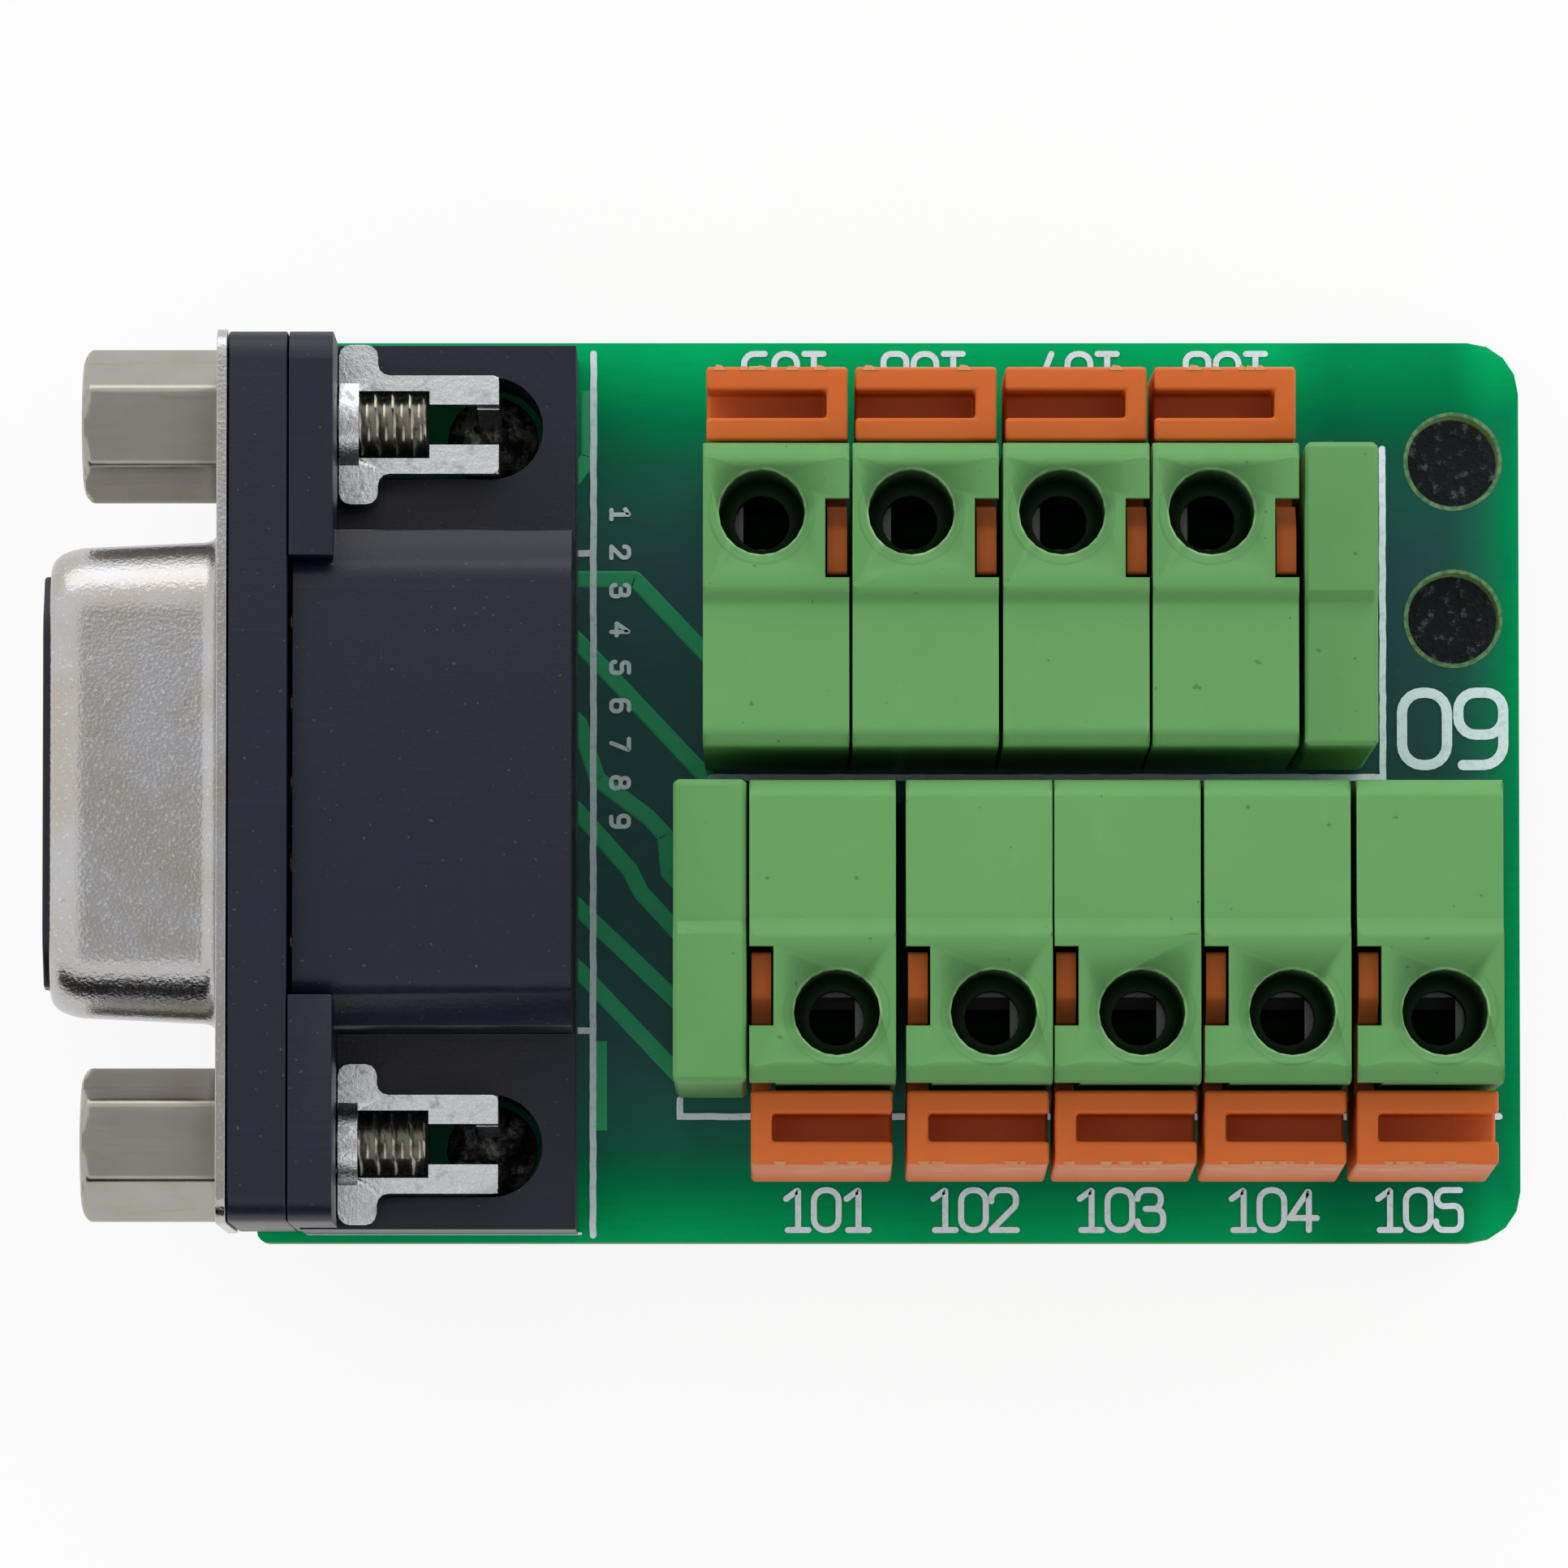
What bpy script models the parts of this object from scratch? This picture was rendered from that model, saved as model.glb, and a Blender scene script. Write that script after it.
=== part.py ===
"""D-sub terminal block adapter: a board that carries a right-angle nine-way D-sub
socket at one end and two back-to-back rows of lever-operated cage-clamp terminals.

Frame: +X runs from the D-sub to the mounting holes, +Z points up from the board.
The origin is below the middle of the whole part, on the plane of the solder tips.
Sizes are in millimetres and turn into metres where meshes are made.
"""
import math

import bmesh
import bpy
from mathutils import Matrix, Vector

MM = 0.001

# Clearances
SEAT_GAP = 0.05          # between flat faces that rest on each other
PIN_GAP = 0.2            # all round a solder pin in its board hole
RUNNING_GAP = 0.05       # radial gap of the lever on its boss
SCREW_GAP = 0.06         # radial gap of the jackscrew stud in metal
SOCKET_GAP = 0.1         # radial gap of a socket contact in the insulator
FIT_GAP = 0.12           # insulator nose inside the drawn shell

# Board
BOARD_SIDE = 0.45            # board beyond each end of the D-sub flange
BOARD_TAIL = 1.25            # board beyond the lower row
BOARD_THICKNESS = 1.6
BOARD_FREE_RADIUS = 1.8      # corners at the mounting-hole end
BOARD_DSUB_RADIUS = 0.4      # corners under the D-sub
MOUNT_HOLE_DIAMETER = 3.2
MOUNT_HOLE_INSET = 2.31      # from the free end to the hole centres
MOUNT_HOLE_EDGE = 4.19       # from the board's upper edge to the first hole centre
MOUNT_HOLE_SPACING = 5.55
TAIL_STANDOUT = 1.8          # solder tails below the board

# D-sub shell and flange
FLANGE_AHEAD = 0.99          # flange front face beyond the board's edge
FLANGE_END = 2.905           # from a jackscrew's axis to the flange's end
FLANGE_HEIGHT = 12.55
FLANGE_CORNER = 1.0
DSUB_SHIFT_Y = -0.15         # connector centre off the board's centre line
SHELL_SHEET = 0.35
SHELL_REACH = 5.86           # drawn nose, from the flange front
D_MARGIN = 2.625             # from the outer contacts to the end of the drawn nose
D_HEIGHT = 7.9
D_CORNER = 2.6
D_SLANT = math.radians(10.0)
D_TAPER = 0.18               # nose narrowing on each side at the front
LIP_LENGTH = 1.4             # rounded front edge, along the nose
LIP_INSET = 0.75             # rounded front edge, inwards
ROOT_FILLET = 0.6

# Insulator and contacts
INSULATOR_PROUD = 0.25       # insulator face beyond the shell's lip
INSULATOR_FLANGE = 2.03
INSULATOR_TRIM = 0.06        # insulator flange inside the shell flange, each side
CONTACT_SPAN = 11.08         # first to last contact of the long row
CONTACT_ROW_OFFSET = 1.42
LONG_ROW_COUNT = 5
SHORT_ROW_COUNT = 4
ENTRY_DIAMETER = 1.3
ENTRY_LENGTH = 0.9
SOCKET_DIAMETER = 1.8
SOCKET_BORE = 1.1
SOCKET_BORE_LENGTH = 5.0
SOCKET_SET_BACK = 1.0        # socket mouth behind the insulator face
TAIL_DIAMETER = 0.7
TAIL_BEND = 0.9
TAIL_TO_WALL = 0.58          # rear tail row ahead of the housing's rear wall
TAIL_ROW_PITCH = 2.84

# Rear housing of the D-sub
EAR_THICKNESS = 1.51
EAR_TROUGH_SIDE = 0.85       # trough between the ears, beyond the cavity
EAR_HOLE_PLAY = 0.46         # ear hole over the stud
BODY_RECESS = 0.06           # body's rear face ahead of the wings'
BODY_DROP = 0.95             # body top below the flange top
BODY_TO_FORK = 1.12
BODY_DRAFT = 1.2             # body narrowing at the top, each side
BODY_SHOULDER = 2.8
BODY_REAR_WALL = 0.8
BODY_SIDE_WALL = 1.9
BODY_ROOF = 1.2
BODY_SET_BACK = 0.1          # body front behind the ear fronts
WING_DROP = 0.675            # wing top below the jackscrew axis
WING_REAR_WALL = 1.16        # behind each slot
SLOT_PLAY = 0.15             # slot over the bracket's collar
SLOT_TAIL = 1.5              # slot beyond the bracket's arms

# Jackscrews
SCREW_TO_NOSE = 4.33         # from the drawn nose to a jackscrew's axis
SHELL_HOLE_PLAY = 0.26       # shell hole over the stud
HEX_ACROSS_FLATS = 4.72
HEX_LENGTH = 4.79
HEX_CHAMFER = 0.35
HEX_BORE_DIAMETER = 2.6
HEX_BORE_FLOOR = 0.59        # left below the bore
STUD_DIAMETER = 2.84
STUD_TO_FORK_END = 2.47      # stud end ahead of the bracket's arm ends
STUD_CHAMFER = 0.35
HEX_TURN = (math.radians(4.0), math.radians(-2.0))   # upper, lower

# Fork-lock brackets
FORK_SHEET = 0.8
FORK_LIFT = 0.1              # plate underside above the screw axis
FORK_HEAD_LENGTH = 1.35
FORK_HEAD_WIDTH = 5.55
FORK_STEM_PLAY = 0.13        # stem narrower than the slot
FORK_REACH = 9.59            # arm ends behind the flange front
FORK_SLOT_WIDTH = 1.4
FORK_CORNER = 0.4
COLLAR_WALL = 0.28
COLLAR_LENGTH = 0.7
FORK_HOLE_DIAMETER = 3.2
FORK_HOLE_LEAD = 0.34        # board hole ahead of the arm ends
LEG_TIP_OUTER = 1.15         # leg half spread at the tip
LEG_TIP_INNER = 0.4

# Terminal rows
POLE_WIDTH = 5.02
POLE_DEPTH = 10.4
POLE_HEIGHT = 14.0
BACK_DROP = 0.4              # plain back half below the front half
CREASE_TO_FRONT = 5.5        # from the crease to the lever face
CREASE_RUN = 0.4
EDGE_ROUND = 0.16
END_PLATE_WIDTH = 2.52
ROW_GAP = 3.44               # from the D-sub to the lower row's end plate
UPPER_INSET = 4.26           # upper row's end plate inside the lower row's end
LOWER_BACK_Y = -0.37
LOWER_SEAMS = (0.09, 0.34, 0.05, 0.11, 0.2)
UPPER_BACK_Y = 0.77
UPPER_SEAMS = (0.19, 0.1, 0.14, 0.1)

# Inside a pole, from its open side, its back face and the board's top
HOLE_TO_CLOSED = 2.02        # hole centre to the closed side
HOLE_TO_FRONT = 2.4          # hole centre to the lever face
HOLE_DIAMETER = 2.96
HOLE_LENGTH = 5.0
THROAT_DIAMETER = 1.9
THROAT_LENGTH = 1.0
CLOSED_WALL = 0.72
BACK_WALL = 0.9
FRONT_WALL = 0.8
ROOF = 0.6
CHANNEL_WIDTH = 0.9
CHANNEL_BACK = 0.3           # channel behind the lever's finger
WINDOW_WIDTH = 0.83
WINDOW_TO_FRONT = 1.93
WINDOW_LENGTH = 2.73
HINGE_TO_FRONT = 2.2
HINGE_HEIGHT = 2.0
BOSS_DIAMETER = 1.6
BOSS_SET_BACK = 0.1          # boss end inside the open side

# Lever
LEVER_STANDOFF = 0.2         # thumb block to the housing's lever face
LEVER_SIDE_PLAY = 0.16       # thumb block narrower than its pole
THUMB_DEPTH = 2.55
THUMB_DROP = 2.0             # thumb block's top below the pole's
THUMB_BOTTOM = 3.2
THUMB_FLARE = 0.3            # outer face, top to bottom
THUMB_OUTSET = 0.03          # thumb block beyond the cheek's outer face
THUMB_BAR = 0.8              # each bar beside the recess
THUMB_END_WALL = 0.7
RECESS_DEPTH = 2.4
CHEEK_PLAY = 0.15            # cheek thinner than its channel
CHEEK_SET_BACK = 0.08        # cheek inside the open side
CHEEK_ROUND = 1.45           # cheek round the boss
CHEEK_DROP = 3.0             # cheek's top edge below the thumb block's
CHEEK_SHOULDER = 1.5         # cheek's back edge below its top edge
FINGER_INSET = 0.16          # finger inside its window, at the back
FINGER_LENGTH = 2.4
FINGER_FLAT = 1.6            # level part of the finger's top
FINGER_SLOPE = 0.8           # fall of the rest of its top
FINGER_DROP = 1.0            # finger's top below the pole's
LUG_REACH = 1.98             # cam lug end, from the open side
LUG_SIZE = 0.7
LUG_DROP = 0.95              # lug's top below the spring's leg
LUG_PLAY = 0.2               # round the lug's path through the front wall
LEVER_SWING = math.radians(20.0)

# Current bar and clamp spring
BAR_SIDE = 1.6
BAR_TO_WALL = 0.3            # bar to the closed wall
BAR_SHEET = 0.6
BAR_TO_FRONT = 3.6           # contact face to the lever face
BAR_DROP = 1.15              # bar's top below the chamber's roof
BAR_BASE_LIFT = 0.2
BAR_BASE_END = 2.2           # base ends, from the back and the lever face
PIN_WIDTH = 0.9
PIN_THICKNESS = 0.6
PIN_INSET = 2.7              # pins, from the back and the lever face
SPRING_SHEET = 0.28
SPRING_SIDE = 1.5
SPRING_TO_WALL = 0.1
SPRING_BACK_PLAY = 1.17      # bow to the back wall
SPRING_BOW_HEIGHT = 3.6
SPRING_BEND = 1.0
SPRING_DROP = 0.75           # leg's middle below the chamber's roof
SPRING_END_DROP = 0.6        # free end below the bar's top
SPRING_LIP_LENGTH = 1.0
LIP_TO_FRONT = 1.15
CAGE_RIM = 0.55              # spring left beside its window

# Facets
FINE_ARC = 28
MID_ARC = 20
PIN_ARC = 12
TAIL_ARC = 8

# Widths, heights and reaches that follow from the sizes above
CONTACT_PITCH = CONTACT_SPAN / (LONG_ROW_COUNT - 1)
D_WIDTH = CONTACT_SPAN + 2 * D_MARGIN
SCREW_SPACING = D_WIDTH + 2 * SCREW_TO_NOSE
FLANGE_WIDTH = SCREW_SPACING + 2 * FLANGE_END
BOARD_WIDTH = FLANGE_WIDTH + 2 * BOARD_SIDE
COLLAR_DIAMETER = STUD_DIAMETER + 2 * COLLAR_WALL
SLOT_WIDTH = COLLAR_DIAMETER + SLOT_PLAY
FORK_STEM_WIDTH = SLOT_WIDTH - FORK_STEM_PLAY
SHELL_SCREW_HOLE = STUD_DIAMETER + SHELL_HOLE_PLAY
EAR_HOLE_DIAMETER = STUD_DIAMETER + EAR_HOLE_PLAY
STUD_REACH = FORK_REACH - STUD_TO_FORK_END
FORK_HOLE_REACH = FORK_REACH - FORK_HOLE_LEAD
SLOT_REACH = FORK_REACH + SLOT_TAIL
WING_REACH = SLOT_REACH + WING_REAR_WALL
WING_HALF_WIDTH = FLANGE_WIDTH / 2
WING_TOP = FLANGE_HEIGHT / 2 - WING_DROP
BODY_REACH = WING_REACH - BODY_RECESS
BODY_TOP = FLANGE_HEIGHT - BODY_DROP
BODY_HALF_WIDTH = (SCREW_SPACING - FORK_HEAD_WIDTH) / 2 - BODY_TO_FORK
BODY_HALF_TOP = BODY_HALF_WIDTH - BODY_DRAFT
CAVITY_HALF_WIDTH = BODY_HALF_WIDTH - BODY_SIDE_WALL
LONG_ROW_TAIL = BODY_REACH - BODY_REAR_WALL - TAIL_TO_WALL
SHORT_ROW_TAIL = LONG_ROW_TAIL - TAIL_ROW_PITCH

HOLE_SIDE = POLE_WIDTH - HOLE_TO_CLOSED
HOLE_DEPTH_POSITION = POLE_DEPTH - HOLE_TO_FRONT
CREASE_DEPTH = POLE_DEPTH - CREASE_TO_FRONT
CHAMBER_TOP = POLE_HEIGHT - HOLE_LENGTH - THROAT_LENGTH
WINDOW_START = POLE_DEPTH - WINDOW_TO_FRONT - WINDOW_LENGTH
HINGE_DEPTH = POLE_DEPTH - HINGE_TO_FRONT
THUMB_WIDTH = POLE_WIDTH - LEVER_SIDE_PLAY
THUMB_TOP = POLE_HEIGHT - THUMB_DROP
CHEEK_THICKNESS = CHANNEL_WIDTH - CHEEK_SET_BACK - CHEEK_PLAY
CHEEK_TOP = THUMB_TOP - CHEEK_DROP
FINGER_START = WINDOW_START + FINGER_INSET
FINGER_TOP = POLE_HEIGHT - FINGER_DROP
BAR_WIDTH = POLE_WIDTH - CLOSED_WALL - BAR_TO_WALL - BAR_SIDE
BAR_FACE = POLE_DEPTH - BAR_TO_FRONT
BAR_TOP = CHAMBER_TOP - BAR_DROP
PIN_DEPTHS = (PIN_INSET, POLE_DEPTH - PIN_INSET)
SPRING_WIDTH = POLE_WIDTH - CLOSED_WALL - SPRING_TO_WALL - SPRING_SIDE
SPRING_REST = BAR_FACE - BAR_SHEET - SEAT_GAP - SPRING_SHEET / 2
SPRING_LOOP = (SPRING_REST - SPRING_SHEET / 2 - BACK_WALL - SPRING_BACK_PLAY) / 2
SPRING_LEG_HEIGHT = CHAMBER_TOP - SPRING_DROP
SPRING_LIP_DEPTH = POLE_DEPTH - LIP_TO_FRONT
LUG_TOP = SPRING_LEG_HEIGHT - LUG_DROP
LUG_BACK = SPRING_LIP_DEPTH - SPRING_SHEET

# Planes along and above the board
LOWER_LENGTH = END_PLATE_WIDTH + sum(seam + POLE_WIDTH for seam in LOWER_SEAMS)
NOSE_REACH = SHELL_REACH + INSULATOR_PROUD
OVERALL_LENGTH = NOSE_REACH + WING_REACH + ROW_GAP + LOWER_LENGTH + BOARD_TAIL
FLANGE_FRONT = NOSE_REACH - OVERALL_LENGTH / 2
BOARD_START = FLANGE_FRONT + FLANGE_AHEAD
BOARD_END = OVERALL_LENGTH / 2
LOWER_START = FLANGE_FRONT + WING_REACH + ROW_GAP
UPPER_START = LOWER_START + LOWER_LENGTH - UPPER_INSET
BOARD_TOP = TAIL_STANDOUT + BOARD_THICKNESS
SEAT_Z = BOARD_TOP + SEAT_GAP
DSUB_AXIS_Z = SEAT_Z + FLANGE_HEIGHT / 2
INSULATOR_START = FLANGE_FRONT + SHELL_SHEET + SEAT_GAP
INSULATOR_END = INSULATOR_START + INSULATOR_FLANGE
EAR_START = INSULATOR_END + SEAT_GAP
EAR_END = EAR_START + EAR_THICKNESS
FORK_START = EAR_END + SEAT_GAP
LEVER_FACE = POLE_DEPTH + LEVER_STANDOFF
STEM_START = FORK_START + FORK_HEAD_LENGTH


def empty_scene():
    for item in list(bpy.data.objects):
        bpy.data.objects.remove(item, do_unlink=True)


def new_collection(name):
    group = bpy.data.collections.new(name)
    bpy.context.scene.collection.children.link(group)
    return group


def new_material(name, colour, roughness, metallic=0.0):
    material = bpy.data.materials.new(name)
    material.use_nodes = True
    shader = material.node_tree.nodes["Principled BSDF"]
    shader.inputs["Base Color"].default_value = (*colour, 1.0)
    shader.inputs["Roughness"].default_value = roughness
    shader.inputs["Metallic"].default_value = metallic
    material.diffuse_color = (*colour, 1.0)
    return material


def link_mesh(name, mesh):
    item = bpy.data.objects.new(name, mesh)
    bpy.context.scene.collection.objects.link(item)
    return item


def mesh_from(name, builder):
    """Makes a mesh object from a function that fills a bmesh in millimetres."""
    shape = bmesh.new()
    builder(shape)
    bmesh.ops.scale(shape, vec=Vector((MM, MM, MM)), verts=shape.verts)
    bmesh.ops.recalc_face_normals(shape, faces=shape.faces)
    mesh = bpy.data.meshes.new(name)
    shape.to_mesh(mesh)
    shape.free()
    return link_mesh(name, mesh)


def settle(item):
    """Turns an object's curve or modifiers into a plain closed mesh in its own frame."""
    bpy.context.view_layer.update()
    evaluated = item.evaluated_get(bpy.context.evaluated_depsgraph_get())
    mesh = bpy.data.meshes.new_from_object(evaluated)
    mesh.transform(item.matrix_world)
    name = item.name
    bpy.data.objects.remove(item, do_unlink=True)
    shape = bmesh.new()
    shape.from_mesh(mesh)
    bmesh.ops.remove_doubles(shape, verts=shape.verts, dist=0.001 * MM)
    bmesh.ops.recalc_face_normals(shape, faces=shape.faces)
    shape.to_mesh(mesh)
    shape.free()
    return link_mesh(name, mesh)


def combine(base, tool, operation):
    """Boolean of two closed meshes; the tool object is used up."""
    modifier = base.modifiers.new(operation.title(), "BOOLEAN")
    modifier.operation = operation
    modifier.solver = "EXACT"
    modifier.object = tool
    result = settle(base)
    bpy.data.objects.remove(tool, do_unlink=True)
    return result


def block(name, low, high):
    """Box between two corners."""
    low = Vector(low)
    high = Vector(high)

    def fill(shape):
        bmesh.ops.create_cube(shape, size=1.0)
        bmesh.ops.scale(shape, vec=high - low, verts=shape.verts)
        bmesh.ops.translate(shape, vec=(low + high) / 2, verts=shape.verts)

    return mesh_from(name, fill)


def rod(name, start, end, diameter, arc, end_diameter=None):
    """Round bar or cone from start to end."""
    start = Vector(start)
    end = Vector(end)
    along = end - start
    far_radius = (end_diameter or diameter) / 2

    def fill(shape):
        bmesh.ops.create_cone(shape, cap_ends=True, segments=arc, radius1=diameter / 2,
                              radius2=far_radius, depth=along.length)
        turn = along.to_track_quat("Z", "Y").to_matrix().to_4x4()
        bmesh.ops.transform(shape, matrix=Matrix.Translation((start + end) / 2) @ turn,
                            verts=shape.verts)

    return mesh_from(name, fill)


def circle(centre, diameter, arc):
    return [(centre[0] + diameter / 2 * math.cos(math.tau * step / arc),
             centre[1] + diameter / 2 * math.sin(math.tau * step / arc)) for step in range(arc)]


def rounded(corners, radii, steps=4):
    """Polygon outline whose corners are replaced by arcs of the given radii."""
    outline = []
    count = len(corners)
    for index, corner in enumerate(corners):
        here = Vector(corner)
        back = (Vector(corners[index - 1]) - here).normalized()
        ahead = (Vector(corners[(index + 1) % count]) - here).normalized()
        radius = radii[index]
        if radius <= 0:
            outline.append(tuple(here))
            continue
        half = back.angle(ahead) / 2
        centre = here + (back + ahead).normalized() * (radius / math.sin(half))
        first = here + back * (radius / math.tan(half)) - centre
        last = here + ahead * (radius / math.tan(half)) - centre
        sweep = first.angle(last)
        side = 1 if first.x * last.y - first.y * last.x > 0 else -1
        for step in range(steps + 1):
            angle = side * sweep * step / steps
            outline.append((centre.x + first.x * math.cos(angle) - first.y * math.sin(angle),
                            centre.y + first.x * math.sin(angle) + first.y * math.cos(angle)))
    return outline


def rectangle(low_x, low_y, high_x, high_y):
    return [(low_x, low_y), (high_x, low_y), (high_x, high_y), (low_x, high_y)]


UPWARD = Matrix.Identity(4)
ALONG_X = Matrix(((0, 0, 1, 0), (1, 0, 0, 0), (0, 1, 0, 0), (0, 0, 0, 1)))


def flat_curve(name, outlines, half_thickness):
    curve = bpy.data.curves.new(name, "CURVE")
    curve.dimensions = "2D"
    curve.fill_mode = "BOTH"
    curve.extrude = half_thickness * MM
    for outline in outlines:
        spline = curve.splines.new("POLY")
        spline.points.add(len(outline) - 1)
        for point, place in zip(spline.points, outline):
            point.co = (place[0] * MM, place[1] * MM, 0.0, 1.0)
        spline.use_cyclic_u = True
    item = bpy.data.objects.new(name, curve)
    bpy.context.scene.collection.objects.link(item)
    return item


def plate(name, outlines, low, high, direction=UPWARD):
    """Flat outline, with any inner outlines as holes, extruded from low to high."""
    item = flat_curve(name, outlines, (high - low) / 2)
    item.matrix_world = direction @ Matrix.Translation((0, 0, (low + high) / 2 * MM))
    return settle(item)


def turned(name, profile, arc, place):
    """Solid of revolution: profile points are (radius, height), from top to bottom."""
    mesh = bpy.data.meshes.new(name)
    points = [(radius * MM, 0.0, height * MM) for radius, height in profile]
    edges = [(index, index + 1) for index in range(len(points) - 1)]
    mesh.from_pydata(points, edges, [])
    item = link_mesh(name, mesh)
    screw = item.modifiers.new("Turn", "SCREW")
    screw.steps = arc
    screw.render_steps = arc
    screw.use_merge_vertices = True
    screw.merge_threshold = 0.001 * MM
    screw.use_smooth_shade = False
    item.matrix_world = place
    return settle(item)


def at(x, y, z):
    return Matrix.Translation(Vector((x, y, z)) * MM)


def wire(name, points, diameter, resolution=1):
    """Round wire along a list of points."""
    curve = bpy.data.curves.new(name, "CURVE")
    curve.dimensions = "3D"
    curve.bevel_depth = diameter / 2 * MM
    curve.bevel_resolution = resolution
    curve.use_fill_caps = True
    spline = curve.splines.new("POLY")
    spline.points.add(len(points) - 1)
    for point, place in zip(spline.points, points):
        point.co = (place[0] * MM, place[1] * MM, place[2] * MM, 1.0)
    item = bpy.data.objects.new(name, curve)
    bpy.context.scene.collection.objects.link(item)
    return settle(item)


def smooth(mesh, degrees=35.0):
    mesh.shade_smooth()
    mesh.set_sharp_from_angle(angle=math.radians(degrees))


def publish(item, name, material, group, round_piece=False):
    """Names a finished piece, gives it its material and moves it to the part's collection."""
    item.name = name
    item.data.name = name
    item.data.materials.clear()
    item.data.materials.append(material)
    if round_piece:
        smooth(item.data)
    for owner in list(item.users_collection):
        owner.objects.unlink(item)
    group.objects.link(item)
    return item


# Places that several pieces share


def screw_places():
    """Y of the upper and the lower jackscrew."""
    half = SCREW_SPACING / 2
    return (DSUB_SHIFT_Y + half, DSUB_SHIFT_Y - half)


def contact_places():
    """(y, z, tail x) of each D-sub contact, the long row first."""
    places = []
    rows = ((LONG_ROW_COUNT, CONTACT_ROW_OFFSET, LONG_ROW_TAIL),
            (SHORT_ROW_COUNT, -CONTACT_ROW_OFFSET, SHORT_ROW_TAIL))
    for count, lift, tail in rows:
        for index in range(count):
            y = DSUB_SHIFT_Y + (index - (count - 1) / 2) * CONTACT_PITCH
            places.append((y, DSUB_AXIS_Z + lift, FLANGE_FRONT + tail))
    return places


def row_places(start, direction, seams):
    """X of the open side of each pole in a row that starts at its end plate."""
    x = start + direction * END_PLATE_WIDTH
    places = []
    for seam in seams:
        x += direction * seam
        places.append(x)
        x += direction * POLE_WIDTH
    return places


def pole_places():
    """(frame matrix, side) of each pole: the lower row, then the upper row turned round."""
    frames = []
    for x in row_places(LOWER_START, 1, LOWER_SEAMS):
        frames.append(at(x, LOWER_BACK_Y, SEAT_Z))
    for x in row_places(UPPER_START, -1, UPPER_SEAMS):
        frames.append(at(x, UPPER_BACK_Y, SEAT_Z) @ Matrix.Rotation(math.pi, 4, "Z"))
    return frames


def board_holes():
    holes = []
    first = BOARD_WIDTH / 2 - MOUNT_HOLE_EDGE
    for y in (first, first - MOUNT_HOLE_SPACING):
        holes.append(circle((BOARD_END - MOUNT_HOLE_INSET, y), MOUNT_HOLE_DIAMETER, FINE_ARC))
    for y in screw_places():
        holes.append(circle((FLANGE_FRONT + FORK_HOLE_REACH, y), FORK_HOLE_DIAMETER, MID_ARC))
    for y, _, x in contact_places():
        holes.append(circle((x, y), TAIL_DIAMETER + 2 * PIN_GAP, TAIL_ARC))
    pin_hole = math.hypot(PIN_WIDTH, PIN_THICKNESS) + 2 * PIN_GAP
    for frame in pole_places():
        for depth in PIN_DEPTHS:
            centre = frame @ (Vector((BAR_SIDE + BAR_WIDTH / 2, -depth, 0)) * MM)
            holes.append(circle((centre.x / MM, centre.y / MM), pin_hole, TAIL_ARC))
    return holes


def make_board():
    half = BOARD_WIDTH / 2
    corners = rectangle(BOARD_START, -half, BOARD_END, half)
    radii = (BOARD_DSUB_RADIUS, BOARD_FREE_RADIUS, BOARD_FREE_RADIUS, BOARD_DSUB_RADIUS)
    outline = rounded(corners, radii)
    return plate("pcb", [outline] + board_holes(), TAIL_STANDOUT, BOARD_TOP)


# D-sub connector


def d_outline(inset):
    """D outline, inset evenly from the drawn nose, as (y, z) points about the axis."""
    half = D_HEIGHT / 2
    corners = []
    for side, z in ((-1, -half + inset), (1, -half + inset), (1, half - inset), (-1, half - inset)):
        reach = D_WIDTH / 2 - (half - z) * math.tan(D_SLANT) - inset / math.cos(D_SLANT)
        corners.append((side * reach, z))
    outline = rounded(corners, [D_CORNER - inset] * 4)
    return [(y + DSUB_SHIFT_Y, z + DSUB_AXIS_Z) for y, z in outline]


def flange_outline(trim=0.0):
    half_y = FLANGE_WIDTH / 2 - trim
    half_z = FLANGE_HEIGHT / 2 - trim
    corners = rectangle(DSUB_SHIFT_Y - half_y, DSUB_AXIS_Z - half_z,
                        DSUB_SHIFT_Y + half_y, DSUB_AXIS_Z + half_z)
    return rounded(corners, [FLANGE_CORNER] * 4)


def shell_stations():
    """(reach from the flange, inset) of each ring along the drawn nose."""
    stations = []
    for step in range(4):
        angle = math.pi / 2 * step / 3
        stations.append((ROOT_FILLET * (1 - math.cos(angle)), ROOT_FILLET * (math.sin(angle) - 1)))
    for step in range(5):
        angle = math.pi / 2 * step / 4
        stations.append((SHELL_REACH - LIP_LENGTH * (1 - math.sin(angle)),
                         D_TAPER + LIP_INSET * (1 - math.cos(angle))))
    return stations


def loft(shape, rings):
    """Bands of quads between matching rings of points."""
    rows = [[shape.verts.new(point) for point in ring] for ring in rings]
    count = len(rows[0])
    for row, following in zip(rows, rows[1:]):
        for index in range(count):
            ahead = (index + 1) % count
            shape.faces.new((row[index], row[ahead], following[ahead], following[index]))
    return rows


def nose_rings(stations):
    return [[(FLANGE_FRONT - reach, y, z) for y, z in d_outline(inset)] for reach, inset in stations]


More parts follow.
